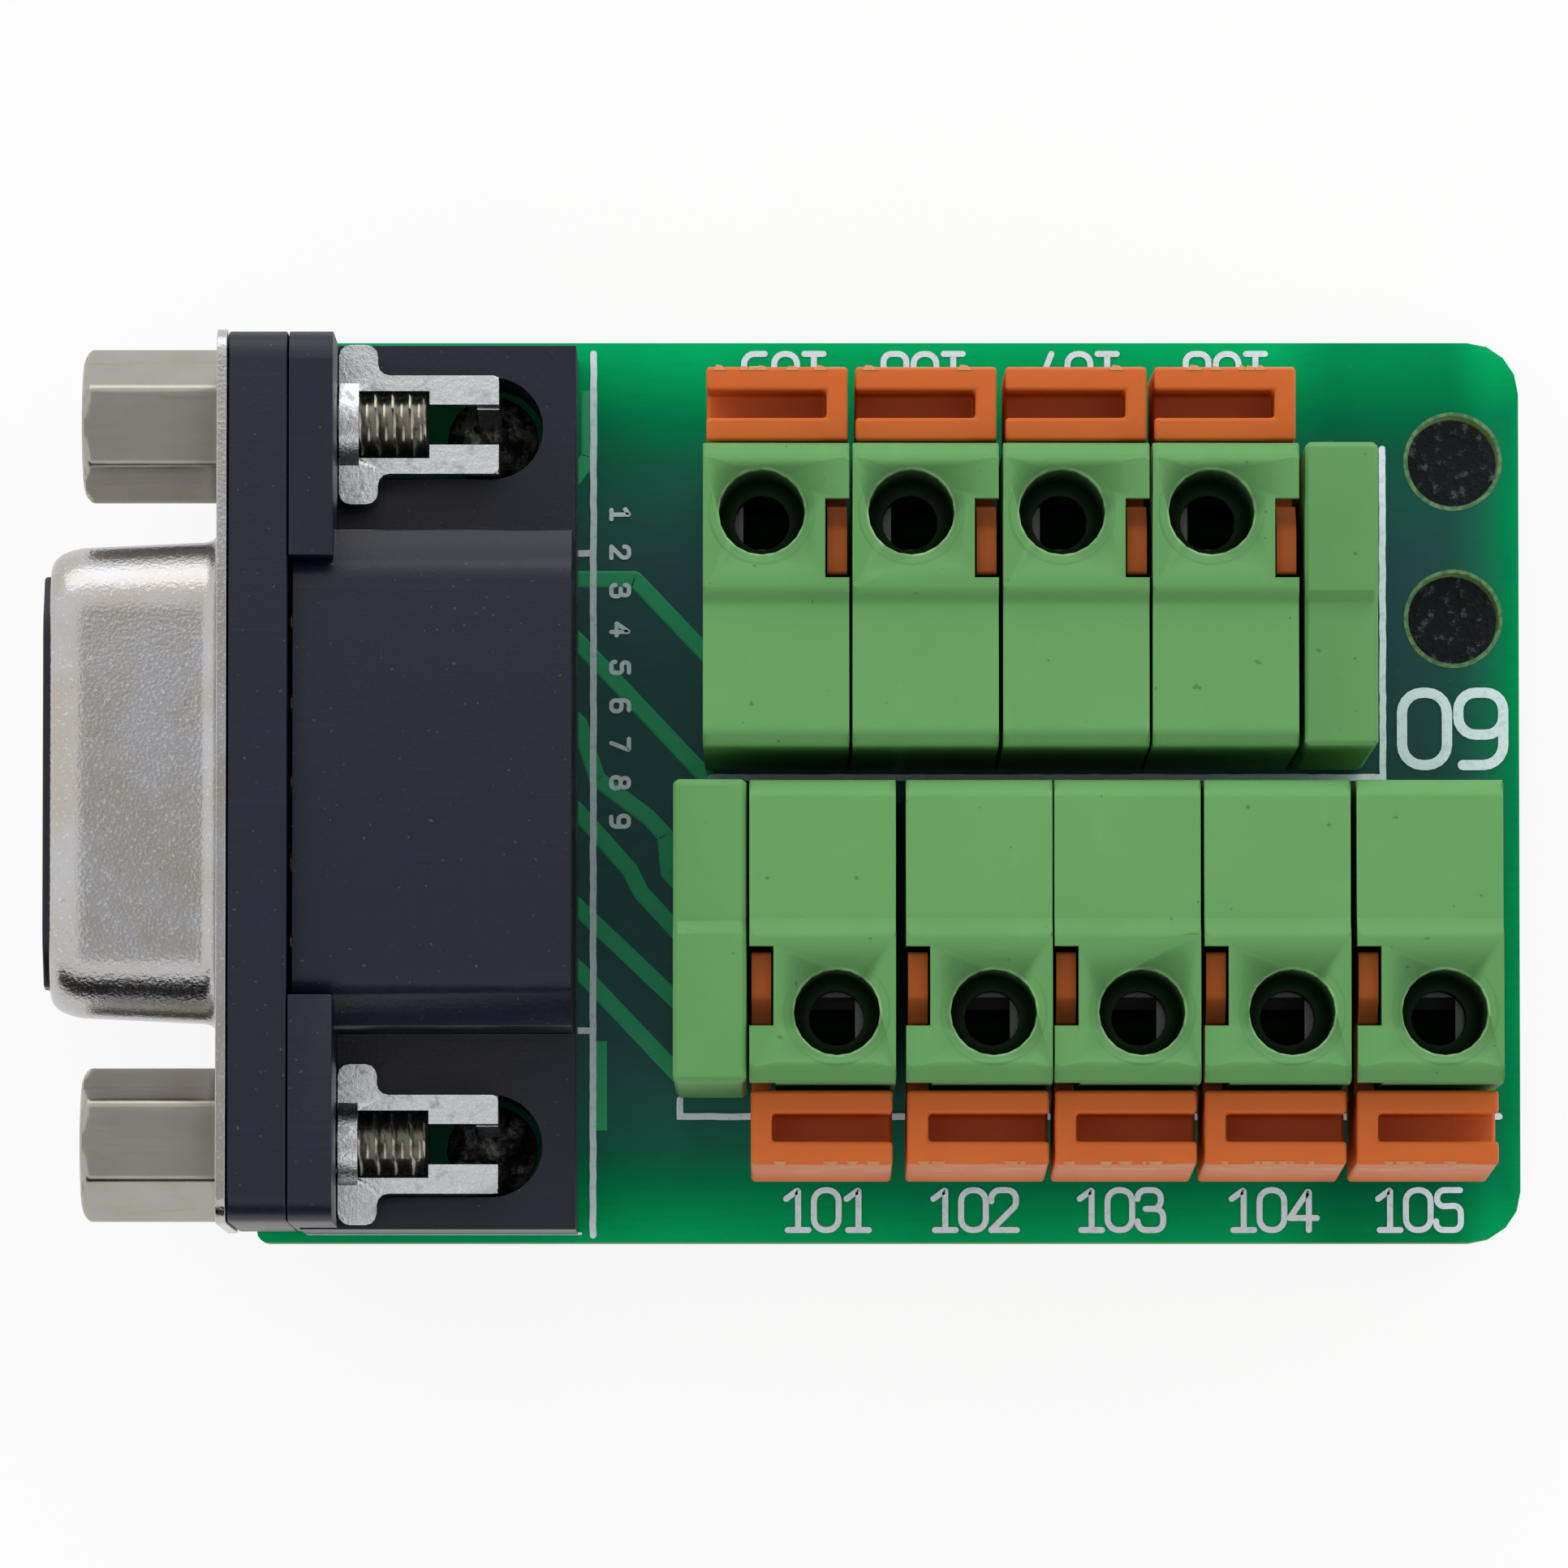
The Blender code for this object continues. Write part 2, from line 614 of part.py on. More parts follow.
def make_front_shell():
    """One drawn sheet: flange with two screw holes, rounded nose and rolled lip."""
    holes = [circle((y, DSUB_AXIS_Z), SHELL_SCREW_HOLE, MID_ARC) for y in screw_places()]
    flange = flat_curve("flange", [flange_outline(), d_outline(-ROOT_FILLET)] + holes, 0.0)
    flange.data.fill_mode = "FRONT"
    flange.matrix_world = ALONG_X @ Matrix.Translation((0, 0, FLANGE_FRONT * MM))
    flange = settle(flange)
    nose = mesh_from("nose", lambda shape: loft(shape, nose_rings(shell_stations())))
    shape = bmesh.new()
    shape.from_mesh(flange.data)
    shape.from_mesh(nose.data)
    bmesh.ops.remove_doubles(shape, verts=shape.verts, dist=0.001 * MM)
    bmesh.ops.recalc_face_normals(shape, faces=shape.faces)
    front = max(shape.faces, key=lambda face: face.calc_area())
    if front.normal.x > 0:
        bmesh.ops.reverse_faces(shape, faces=shape.faces)
    shape.to_mesh(flange.data)
    shape.free()
    bpy.data.objects.remove(nose, do_unlink=True)
    sheet = flange.modifiers.new("Sheet", "SOLIDIFY")
    sheet.thickness = SHELL_SHEET * MM
    sheet.offset = -1.0
    sheet.use_even_offset = True
    return settle(flange)


def insulator_stations():
    """The nose follows the shell's inside, then steps in to pass its lip."""
    wide = SHELL_SHEET + FIT_GAP + D_TAPER
    narrow = D_TAPER + LIP_INSET + FIT_GAP
    lip = SHELL_REACH - LIP_LENGTH
    return ((-SHELL_SHEET - SEAT_GAP - INSULATOR_FLANGE / 2, wide),
            (lip - SHELL_SHEET, wide),
            (lip + LIP_LENGTH / 3, narrow),
            (NOSE_REACH, narrow))


def make_insulator():
    def fill(shape):
        rows = loft(shape, nose_rings(insulator_stations()))
        shape.faces.new(rows[0])
        shape.faces.new(rows[-1])

    nose = mesh_from("insulator_nose", fill)
    holes = [circle((y, DSUB_AXIS_Z), SHELL_SCREW_HOLE, MID_ARC) for y in screw_places()]
    flange = plate("insulator", [flange_outline(INSULATOR_TRIM)] + holes,
                   INSULATOR_START, INSULATOR_END, ALONG_X)
    body = combine(flange, nose, "UNION")
    face = FLANGE_FRONT - NOSE_REACH
    for y, z, _ in contact_places():
        entry = rod("entry", (face - 1, y, z), (face + ENTRY_LENGTH + 0.2, y, z), ENTRY_DIAMETER,
                    PIN_ARC)
        cavity = rod("cavity", (face + ENTRY_LENGTH, y, z), (INSULATOR_END + 1, y, z),
                     SOCKET_DIAMETER + 2 * SOCKET_GAP, TAIL_ARC)
        body = combine(body, combine(entry, cavity, "UNION"), "DIFFERENCE")
    return body


def make_contact(y, z, tail_x):
    """Socket barrel with a bore at the front and a wire tail bent down to the board."""
    mouth = FLANGE_FRONT - NOSE_REACH + SOCKET_SET_BACK
    length = INSULATOR_END - mouth
    outer = SOCKET_DIAMETER / 2
    inner = SOCKET_BORE / 2
    profile = ((0, length), (outer, length), (outer, 0), (inner, 0),
               (inner, SOCKET_BORE_LENGTH), (0, SOCKET_BORE_LENGTH))
    place = at(mouth, y, z) @ Matrix.Rotation(math.pi / 2, 4, "Y")
    barrel = turned("barrel", profile, TAIL_ARC, place)
    points = [(INSULATOR_END - 1, y, z)]
    for step in range(4):
        angle = math.pi / 2 * step / 3
        points.append((tail_x - TAIL_BEND + TAIL_BEND * math.sin(angle), y,
                       z - TAIL_BEND + TAIL_BEND * math.cos(angle)))
    points.append((tail_x, y, 0))
    return combine(barrel, wire("tail", points, TAIL_DIAMETER), "UNION")


def make_rear_housing():
    """Ears, body and wings in one moulding, hollow under the roof for the contact tails."""
    y = DSUB_SHIFT_Y
    bar = plate("rear", [flange_outline(INSULATOR_TRIM)], EAR_START, EAR_END, ALONG_X)
    low = BOARD_TOP + WING_TOP / 2
    section = [(y - BODY_HALF_WIDTH, low), (y + BODY_HALF_WIDTH, low),
               (y + BODY_HALF_WIDTH, BOARD_TOP + BODY_TOP - BODY_SHOULDER),
               (y + BODY_HALF_TOP, BOARD_TOP + BODY_TOP), (y - BODY_HALF_TOP, BOARD_TOP + BODY_TOP),
               (y - BODY_HALF_WIDTH, BOARD_TOP + BODY_TOP - BODY_SHOULDER)]
    section = rounded(section, [0, 0, 0.9, 0.9, 0.9, 0.9], 3)
    body = plate("body", [section], EAR_START + BODY_SET_BACK, FLANGE_FRONT + BODY_REACH, ALONG_X)
    trough_half = CAVITY_HALF_WIDTH + EAR_TROUGH_SIDE
    trough = block("trough", (EAR_START - 1, y - trough_half, SEAT_Z - 1),
                   (EAR_END + 1, y + trough_half, DSUB_AXIS_Z + FLANGE_HEIGHT))
    outline = rectangle(EAR_START + 2 * BODY_SET_BACK, y - WING_HALF_WIDTH,
                        FLANGE_FRONT + WING_REACH, y + WING_HALF_WIDTH)
    slots = [slot_outline(place) for place in screw_places()]
    wings = plate("wings", [outline] + slots, SEAT_Z, BOARD_TOP + WING_TOP)
    housing = combine(bar, trough, "DIFFERENCE")
    housing = combine(housing, wings, "UNION")
    housing = combine(housing, body, "UNION")
    cavity = block("cavity", (EAR_START - 1, y - CAVITY_HALF_WIDTH, SEAT_Z - 1),
                   (FLANGE_FRONT + BODY_REACH - BODY_REAR_WALL, y + CAVITY_HALF_WIDTH,
                    BOARD_TOP + BODY_TOP - BODY_ROOF))
    housing = combine(housing, cavity, "DIFFERENCE")
    for place in screw_places():
        bore = rod("bore", (EAR_START - 1, place, DSUB_AXIS_Z), (EAR_END + 1, place, DSUB_AXIS_Z),
                   EAR_HOLE_DIAMETER, MID_ARC)
        housing = combine(housing, bore, "DIFFERENCE")
    return housing


def slot_outline(y):
    """U-shaped slot behind each ear: straight at the ear, round at its far end."""
    half = SLOT_WIDTH / 2
    far = FLANGE_FRONT + SLOT_REACH
    return rounded(rectangle(EAR_END, y - half, far, y + half), [0, half - 0.01, half - 0.01, 0], 8)


def make_jackscrew(y, turn):
    """Hex standoff with a turned front, a blind bore and a stud at the back."""
    corner = HEX_ACROSS_FLATS / math.cos(math.pi / 6)
    rear = FLANGE_FRONT - SEAT_GAP
    front = rear - HEX_LENGTH
    flats = [(y + corner / 2 * math.cos(turn + math.tau * step / 6),
              DSUB_AXIS_Z + corner / 2 * math.sin(turn + math.tau * step / 6)) for step in range(6)]
    body = plate("hex", [flats], front, rear, ALONG_X)
    edge = HEX_ACROSS_FLATS / 2 - 0.1
    blank = ((0, HEX_LENGTH + 1), (corner / 2 + 0.5, HEX_LENGTH + 1), (corner / 2 + 0.5, 0.9),
             (edge + HEX_CHAMFER * 0.8, HEX_CHAMFER), (edge, 0), (0, 0))
    place = at(front, y, DSUB_AXIS_Z) @ Matrix.Rotation(math.pi / 2, 4, "Y")
    body = combine(body, turned("blank", blank, MID_ARC, place), "INTERSECT")
    radius = STUD_DIAMETER / 2
    end = FLANGE_FRONT + STUD_REACH - front
    stud = ((0, end), (radius - STUD_CHAMFER, end), (radius, end - STUD_CHAMFER),
            (radius, HEX_LENGTH / 2), (0, HEX_LENGTH / 2))
    body = combine(body, turned("stud", stud, MID_ARC, place), "UNION")
    bore = rod("bore", (front - 1, y, DSUB_AXIS_Z), (rear - HEX_BORE_FLOOR, y, DSUB_AXIS_Z),
               HEX_BORE_DIAMETER, MID_ARC)
    return combine(body, bore, "DIFFERENCE")


def fork_outline(y):
    """T-shaped plate outline with rounded shoulders, seen from above."""
    head = FORK_HEAD_WIDTH / 2
    stem = FORK_STEM_WIDTH / 2
    end = FLANGE_FRONT + FORK_REACH
    corners = [(FORK_START, y - head), (STEM_START, y - head), (STEM_START, y - stem),
               (end, y - stem), (end, y + stem), (STEM_START, y + stem),
               (STEM_START, y + head), (FORK_START, y + head)]
    turn = FORK_CORNER
    return rounded(corners, [turn, turn, turn, 0.2, 0.2, turn, turn, turn], 3)


def make_fork_leg(y, side):
    """Arm end bent down: a bar that leans in towards the board hole."""
    end = FLANGE_FRONT + FORK_REACH
    top = DSUB_AXIS_Z + FORK_LIFT + FORK_SHEET / 2
    outer = FORK_STEM_WIDTH / 2 - 0.02
    inner = FORK_SLOT_WIDTH / 2 + 0.02
    leg = block("leg", (end - FORK_SHEET, inner, 0), (end - 0.02, outer, top))
    for vert in leg.data.vertices:
        if vert.co.z < top / 2 * MM:
            vert.co.y = (LEG_TIP_OUTER if vert.co.y > (inner + outer) / 2 * MM else LEG_TIP_INNER) * MM
        vert.co.y = y * MM + side * vert.co.y
    if side < 0:
        leg.data.flip_normals()
    return leg


def make_fork(y):
    """Board lock: plate and collar round the stud, with two legs through the board."""
    low = DSUB_AXIS_Z + FORK_LIFT
    body = plate("fork", [fork_outline(y)], low, low + FORK_SHEET)
    collar = rod("collar", (FORK_START + 0.02, y, DSUB_AXIS_Z),
                 (FORK_START + COLLAR_LENGTH, y, DSUB_AXIS_Z), COLLAR_DIAMETER, MID_ARC)
    body = combine(body, collar, "UNION")
    for side in (1, -1):
        body = combine(body, make_fork_leg(y, side), "UNION")
    slot_start = FLANGE_FRONT + STUD_REACH - 1.0
    slot = block("slot", (slot_start, y - FORK_SLOT_WIDTH / 2, low - 1),
                 (FLANGE_FRONT + FORK_REACH + 1, y + FORK_SLOT_WIDTH / 2, low + FORK_SHEET + 1))
    body = combine(body, slot, "DIFFERENCE")
    passage = rod("passage", (FORK_START - 1, y, DSUB_AXIS_Z),
                  (FLANGE_FRONT + STUD_REACH + SCREW_GAP, y, DSUB_AXIS_Z),
                  STUD_DIAMETER + 2 * SCREW_GAP, MID_ARC)
    return combine(body, passage, "DIFFERENCE")


# Terminal poles: x from the open side, y from the back face to the levers, z from the seat


def side_profile():
    """Outline of a pole seen from its side, as (y, z)."""
    back = POLE_HEIGHT - BACK_DROP
    return [(0, 0), (0, back), (-CREASE_DEPTH, back), (-CREASE_DEPTH - CREASE_RUN, POLE_HEIGHT),
            (-POLE_DEPTH, POLE_HEIGHT), (-POLE_DEPTH, 0)]


def moulded_block(name, width):
    """Pole profile across the given width, with its edges rounded."""
    body = plate(name, [side_profile()], 0, width, ALONG_X)
    rounding = body.modifiers.new("Edges", "BEVEL")
    rounding.width = EDGE_ROUND * MM
    rounding.segments = 1
    rounding.limit_method = "ANGLE"
    rounding.angle_limit = math.radians(60)
    return settle(body)


def make_pole_housing():
    """Moulded pole, open at one side and below, with funnel, window and hinge boss."""
    body = moulded_block("pole_housing", POLE_WIDTH)
    chamber = block("chamber", (-1, -POLE_DEPTH + FRONT_WALL, -1),
                    (POLE_WIDTH - CLOSED_WALL, -BACK_WALL, CHAMBER_TOP))
    body = combine(body, chamber, "DIFFERENCE")
    channel = block("channel", (-1, -POLE_DEPTH - 1, -1),
                    (CHANNEL_WIDTH, -FINGER_START + CHANNEL_BACK, POLE_HEIGHT - ROOF))
    body = combine(body, channel, "DIFFERENCE")
    low, high = lug_heights()
    passage = block("lug_passage", (-1, -POLE_DEPTH - 1, low - LUG_PLAY),
                    (LUG_REACH + LUG_PLAY, -POLE_DEPTH + FRONT_WALL + 1, high + LUG_PLAY))
    body = combine(body, passage, "DIFFERENCE")
    window = block("window", (-1, -WINDOW_START - WINDOW_LENGTH, POLE_HEIGHT - ROOF - 1),
                   (WINDOW_WIDTH, -WINDOW_START, POLE_HEIGHT + 1))
    body = combine(body, window, "DIFFERENCE")
    centre = (HOLE_SIDE, -HOLE_DEPTH_POSITION)
    funnel = rod("funnel", (*centre, POLE_HEIGHT - HOLE_LENGTH), (*centre, POLE_HEIGHT + 1),
                 HOLE_DIAMETER, MID_ARC)
    body = combine(body, funnel, "DIFFERENCE")
    throat = rod("throat", (*centre, CHAMBER_TOP - 1), (*centre, POLE_HEIGHT - HOLE_LENGTH + 0.5),
                 THROAT_DIAMETER, MID_ARC)
    body = combine(body, throat, "DIFFERENCE")
    boss = rod("boss", (BOSS_SET_BACK, -HINGE_DEPTH, HINGE_HEIGHT),
               (POLE_WIDTH - CLOSED_WALL / 2, -HINGE_DEPTH, HINGE_HEIGHT), BOSS_DIAMETER, PIN_ARC)
    return combine(body, boss, "UNION")


def lug_heights():
    """Lowest and highest point of the cam lug over the lever's swing."""
    ahead = HINGE_DEPTH - LUG_BACK
    heights = []
    for angle in (0, LEVER_SWING):
        for reach in (ahead, ahead + LUG_SIZE):
            for z in (LUG_TOP - LUG_SIZE, LUG_TOP):
                heights.append(HINGE_HEIGHT + (z - HINGE_HEIGHT) * math.cos(angle)
                               + reach * math.sin(angle))
    return min(heights), max(heights)


def cheek_outline():
    """Lever cheek seen from the side: round at the boss, finger up to the window."""
    reach = THUMB_DEPTH / 2
    corners = [(-HINGE_DEPTH + CHEEK_ROUND, HINGE_HEIGHT - CHEEK_ROUND),
               (-HINGE_DEPTH + CHEEK_ROUND, HINGE_HEIGHT + CHEEK_ROUND),
               (-FINGER_START, CHEEK_TOP - CHEEK_SHOULDER), (-FINGER_START, FINGER_TOP),
               (-FINGER_START - FINGER_FLAT, FINGER_TOP),
               (-FINGER_START - FINGER_LENGTH, FINGER_TOP - FINGER_SLOPE),
               (-FINGER_START - FINGER_LENGTH, CHEEK_TOP),
               (-LEVER_FACE - reach, CHEEK_TOP), (-LEVER_FACE - reach, THUMB_BOTTOM + 0.5),
               (-LEVER_FACE + 0.3, HINGE_HEIGHT - CHEEK_ROUND)]
    return rounded(corners, [CHEEK_ROUND - 0.05, 0.8, 0.5, 0.15, 0, 0.15, 0.4, 0.2, 0.2, 1.2], 2)


def thumb_outline():
    inner = -LEVER_FACE
    outer = inner - THUMB_DEPTH
    corners = [(inner, THUMB_BOTTOM), (inner, THUMB_TOP), (outer, THUMB_TOP),
               (outer - THUMB_FLARE, THUMB_BOTTOM)]
    return rounded(corners, [0.3, 0.12, 0.12, 0.3], 1)


def make_lever():
    """Lever in its pole's frame: slotted thumb block, cheek on the boss, finger and cam lug."""
    side = CHEEK_SET_BACK
    start = side - THUMB_OUTSET
    body = plate("lever", [thumb_outline()], start, start + THUMB_WIDTH, ALONG_X)
    recess = block("recess", (side + THUMB_END_WALL, -LEVER_FACE - THUMB_DEPTH + THUMB_BAR,
                              THUMB_TOP - RECESS_DEPTH),
                   (side + THUMB_WIDTH + 1, -LEVER_FACE - THUMB_BAR, THUMB_TOP + 1))
    body = combine(body, recess, "DIFFERENCE")
    boss_hole = circle((-HINGE_DEPTH, HINGE_HEIGHT), BOSS_DIAMETER + 2 * RUNNING_GAP, PIN_ARC)
    cheek = plate("cheek", [cheek_outline(), boss_hole], side, side + CHEEK_THICKNESS, ALONG_X)
    body = combine(body, cheek, "UNION")
    lug = block("lug", (side + CHEEK_THICKNESS / 2, -LUG_BACK, LUG_TOP - LUG_SIZE),
                (LUG_REACH, -LUG_BACK + LUG_SIZE, LUG_TOP))
    return combine(body, lug, "UNION")


def make_current_bar():
    """Bent strip: upright contact face, base and two solder pins through the board."""
    high_side = BAR_SIDE + BAR_WIDTH
    base_top = BAR_BASE_LIFT + BAR_SHEET
    body = block("current_bar", (BAR_SIDE, BAR_BASE_END - POLE_DEPTH, BAR_BASE_LIFT),
                 (high_side, -BAR_BASE_END, base_top))
    upright = block("upright", (BAR_SIDE + 0.02, -BAR_FACE, BAR_BASE_LIFT + 0.1),
                    (high_side - 0.02, -BAR_FACE + BAR_SHEET, BAR_TOP))
    body = combine(body, upright, "UNION")
    middle = BAR_SIDE + BAR_WIDTH / 2
    for depth in PIN_DEPTHS:
        pin = block("pin", (middle - PIN_WIDTH / 2, -depth - PIN_THICKNESS / 2, -SEAT_Z),
                    (middle + PIN_WIDTH / 2, -depth + PIN_THICKNESS / 2, base_top - 0.1))
        body = combine(body, pin, "UNION")
    return body


def spring_path():
    """Middle line of the spring strip from the side, as (y, z)."""
    rest = -SPRING_REST
    centre = rest + SPRING_LOOP
    path = [(rest, BAR_TOP - SPRING_END_DROP)]
    for step in range(7):
        angle = math.pi * step / 6
        path.append((centre - SPRING_LOOP * math.cos(angle),
                     SPRING_BOW_HEIGHT - SPRING_LOOP * math.sin(angle)))
    back = rest + 2 * SPRING_LOOP
    for step in range(4):
        angle = math.pi / 2 * step / 3
        path.append((back - SPRING_BEND + SPRING_BEND * math.cos(angle),
                     SPRING_LEG_HEIGHT - SPRING_BEND + SPRING_BEND * math.sin(angle)))
    front = -SPRING_LIP_DEPTH
    for step in range(3):
        angle = math.pi / 2 * step / 2
        path.append((front + SPRING_BEND / 2 * (1 - math.sin(angle)),
                     SPRING_LEG_HEIGHT - SPRING_BEND / 2 * (1 - math.cos(angle))))
    path.append((front, SPRING_LEG_HEIGHT - SPRING_LIP_LENGTH))
    return path


def make_clamp_spring():
    """Cage-clamp spring: bow behind the bar, windowed leg over the wire path, hooked lip."""
    def fill(shape):
        rows = [[shape.verts.new((x, y, z)) for x in (SPRING_SIDE, SPRING_SIDE + SPRING_WIDTH)]
                for y, z in spring_path()]
        for row, following in zip(rows, rows[1:]):
            shape.faces.new((row[0], row[1], following[1], following[0]))

    strip = mesh_from("clamp_spring", fill)
    sheet = strip.modifiers.new("Sheet", "SOLIDIFY")
    sheet.thickness = SPRING_SHEET * MM
    sheet.offset = 0.0
    sheet.use_even_offset = True
    strip = settle(strip)
    half = SPRING_WIDTH / 2 - CAGE_RIM
    window = block("cage_window", (SPRING_SIDE + CAGE_RIM, -HOLE_DEPTH_POSITION - half,
                                   SPRING_LEG_HEIGHT - SPRING_SHEET),
                   (SPRING_SIDE + SPRING_WIDTH - CAGE_RIM, -HOLE_DEPTH_POSITION + half,
                    SPRING_LEG_HEIGHT + SPRING_SHEET))
    return combine(strip, window, "DIFFERENCE")


def place_copies(source, stem, material, group, offset=Vector((0, 0, 0))):
    """One object per pole, all sharing the mesh of the source piece."""
    mesh = source.data
    mesh.transform(Matrix.Translation(-offset))
    for number, frame in enumerate(pole_places(), start=1):
        item = bpy.data.objects.new(f"{stem}_{number}", mesh)
        item.matrix_world = frame @ Matrix.Translation(offset)
        group.objects.link(item)
    mesh.materials.clear()
    mesh.materials.append(material)
    mesh.name = stem
    bpy.data.objects.remove(source, do_unlink=True)


def place_end_plates(material, group):
    """Closing plate at the open end of each row."""
    plate_mesh = moulded_block("end_plate", END_PLATE_WIDTH)
    lower = publish(plate_mesh, "end_plate_lower", material, group)
    lower.location = Vector((LOWER_START, LOWER_BACK_Y, SEAT_Z)) * MM
    upper = bpy.data.objects.new("end_plate_upper", lower.data)
    upper.location = Vector((UPPER_START, UPPER_BACK_Y, SEAT_Z)) * MM
    upper.rotation_euler = (0, 0, math.pi)
    group.objects.link(upper)


def build():
    empty_scene()
    group = new_collection("dsub_terminal_adapter")
    laminate = new_material("board_green", (0.02, 0.2, 0.1), 0.35)
    nickel = new_material("nickel", (0.62, 0.6, 0.56), 0.35, 1.0)
    tin = new_material("tin", (0.75, 0.75, 0.74), 0.3, 1.0)
    spring_steel = new_material("spring_steel", (0.5, 0.5, 0.5), 0.3, 1.0)
    gold = new_material("contact_gold", (0.85, 0.62, 0.25), 0.3, 1.0)
    black = new_material("black_moulding", (0.03, 0.03, 0.045), 0.5)
    green = new_material("green_moulding", (0.17, 0.42, 0.13), 0.55)
    orange = new_material("orange_moulding", (0.72, 0.17, 0.03), 0.5)

    publish(make_board(), "pcb", laminate, group)
    publish(make_front_shell(), "dsub_front_shell", nickel, group, round_piece=True)
    publish(make_insulator(), "dsub_front_insulator", black, group, round_piece=True)
    publish(make_rear_housing(), "dsub_rear_housing", black, group)
    for number, place in enumerate(contact_places(), start=1):
        publish(make_contact(*place), f"dsub_contact_{number}", gold, group, round_piece=True)
    for side, y, turn in zip(("upper", "lower"), screw_places(), HEX_TURN):
        publish(make_jackscrew(y, turn), f"jackscrew_{side}", nickel, group, round_piece=True)
        publish(make_fork(y), f"fork_bracket_{side}", tin, group)
    place_copies(make_pole_housing(), "pole_housing", green, group)
    place_copies(make_current_bar(), "current_bar", tin, group)
    place_copies(make_clamp_spring(), "clamp_spring", spring_steel, group)
    hinge = Vector((0, -HINGE_DEPTH, HINGE_HEIGHT)) * MM
    place_copies(make_lever(), "lever", orange, group, hinge)
    place_end_plates(green, group)


build()
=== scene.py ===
"""Looks of the D-sub terminal block adapter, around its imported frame. Metres, +Z up."""

import math
import random

import bmesh
import bpy
from mathutils import Matrix, Vector, noise


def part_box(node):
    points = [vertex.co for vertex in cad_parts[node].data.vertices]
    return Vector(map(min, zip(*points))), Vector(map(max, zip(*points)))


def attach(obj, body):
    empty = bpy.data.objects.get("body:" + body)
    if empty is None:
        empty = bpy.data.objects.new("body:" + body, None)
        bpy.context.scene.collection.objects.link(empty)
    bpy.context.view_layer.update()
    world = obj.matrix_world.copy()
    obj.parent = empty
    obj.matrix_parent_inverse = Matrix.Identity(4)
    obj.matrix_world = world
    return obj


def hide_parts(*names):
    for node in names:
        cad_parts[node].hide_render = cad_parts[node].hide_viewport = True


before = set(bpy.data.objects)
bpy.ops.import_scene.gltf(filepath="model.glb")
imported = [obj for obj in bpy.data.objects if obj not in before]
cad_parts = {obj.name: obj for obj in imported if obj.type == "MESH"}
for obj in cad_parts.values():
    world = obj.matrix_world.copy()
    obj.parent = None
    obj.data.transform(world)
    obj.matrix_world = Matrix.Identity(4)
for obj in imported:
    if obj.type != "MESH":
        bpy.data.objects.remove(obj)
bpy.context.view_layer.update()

MM = 0.001
POLES = range(1, 10)
LOWER_POLES = range(1, 6)
UPPER_POLES = range(6, 10)
CONTACTS = range(1, 10)
SIDES = ("upper", "lower")


# Places read from the frame, in millimetres


def box_mm(node):
    low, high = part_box(node)
    return Vector(low) / MM, Vector(high) / MM


BOARD_LOW, BOARD_HIGH = box_mm("pcb")
SHELL_LOW, SHELL_HIGH = box_mm("dsub_front_shell")
DSUB_Y = (SHELL_LOW.y + SHELL_HIGH.y) / 2
DSUB_Z = (SHELL_LOW.z + SHELL_HIGH.z) / 2
BOARD_TOP = BOARD_HIGH.z
BOARD_UNDER = BOARD_LOW.z
MOUNT_HOLE_INSET = 2.31  # from the free end
MOUNT_HOLE_EDGES = (4.19, 9.74)  # from the upper edge
MOUNT_HOLES = [(BOARD_HIGH.x - MOUNT_HOLE_INSET, BOARD_HIGH.y - edge)
               for edge in MOUNT_HOLE_EDGES]

# Pole sizes, measured from its wire hole
HOLE_SIDE = 3.0  # from the open side
HOLE_DEPTH = 8.0  # from the back
HOLE_RADIUS = 1.48
RING_RADIUS = 1.8
POLE_TOP = 14.0
CREASE = 3.1  # where the flat back of the top begins
OUTER_FACE = -5.08  # a little inside the lever's outer face
SCUFF_BASE = 5.0  # height where the lever's scuffs begin to show
SCUFF_FADE = 5.0  # height over which they grow to the full
FLASH_START = 0.3
FLASH_FOOT = (-5.03, 12.0)  # Y and height where the slivers leave the lever
FLASH_TIP = (-5.13, 11.93)

# Camera, from the photograph's frame of 1932 pixels
PHOTO_SIZE = 1932
PIXELS_PER_MM = 35.03  # at the board's top
VIEW_DISTANCE = 500.0
VIEW_TILT = math.radians(3.5)
SENSOR = 36.0
PHOTO_CENTRE = (-0.13, 0.285)


def photo_place(px, py, z):
    """Millimetre place on the level z that shows at a pixel of the photograph."""
    scale = PIXELS_PER_MM * VIEW_DISTANCE / (VIEW_DISTANCE - (z - BOARD_TOP))
    x = PHOTO_CENTRE[0] + (px - PHOTO_SIZE / 2) / scale
    y = PHOTO_CENTRE[1] - (py - PHOTO_SIZE / 2) / scale - (z - BOARD_TOP) * math.tan(VIEW_TILT)
    return x, y


def pole_place(number):
    """Where a pole's own axes stand: at its wire hole on the seat, Y towards its back."""
    low, high = box_mm(f"pole_housing_{number}")
    if number in LOWER_POLES:
        origin = Vector((low.x + HOLE_SIDE, high.y - HOLE_DEPTH, low.z))
        return Matrix.Translation(origin * MM)
    origin = Vector((high.x - HOLE_SIDE, low.y + HOLE_DEPTH, low.z))
    return Matrix.Translation(origin * MM) @ Matrix.Rotation(math.pi, 4, "Z")


# Finishes


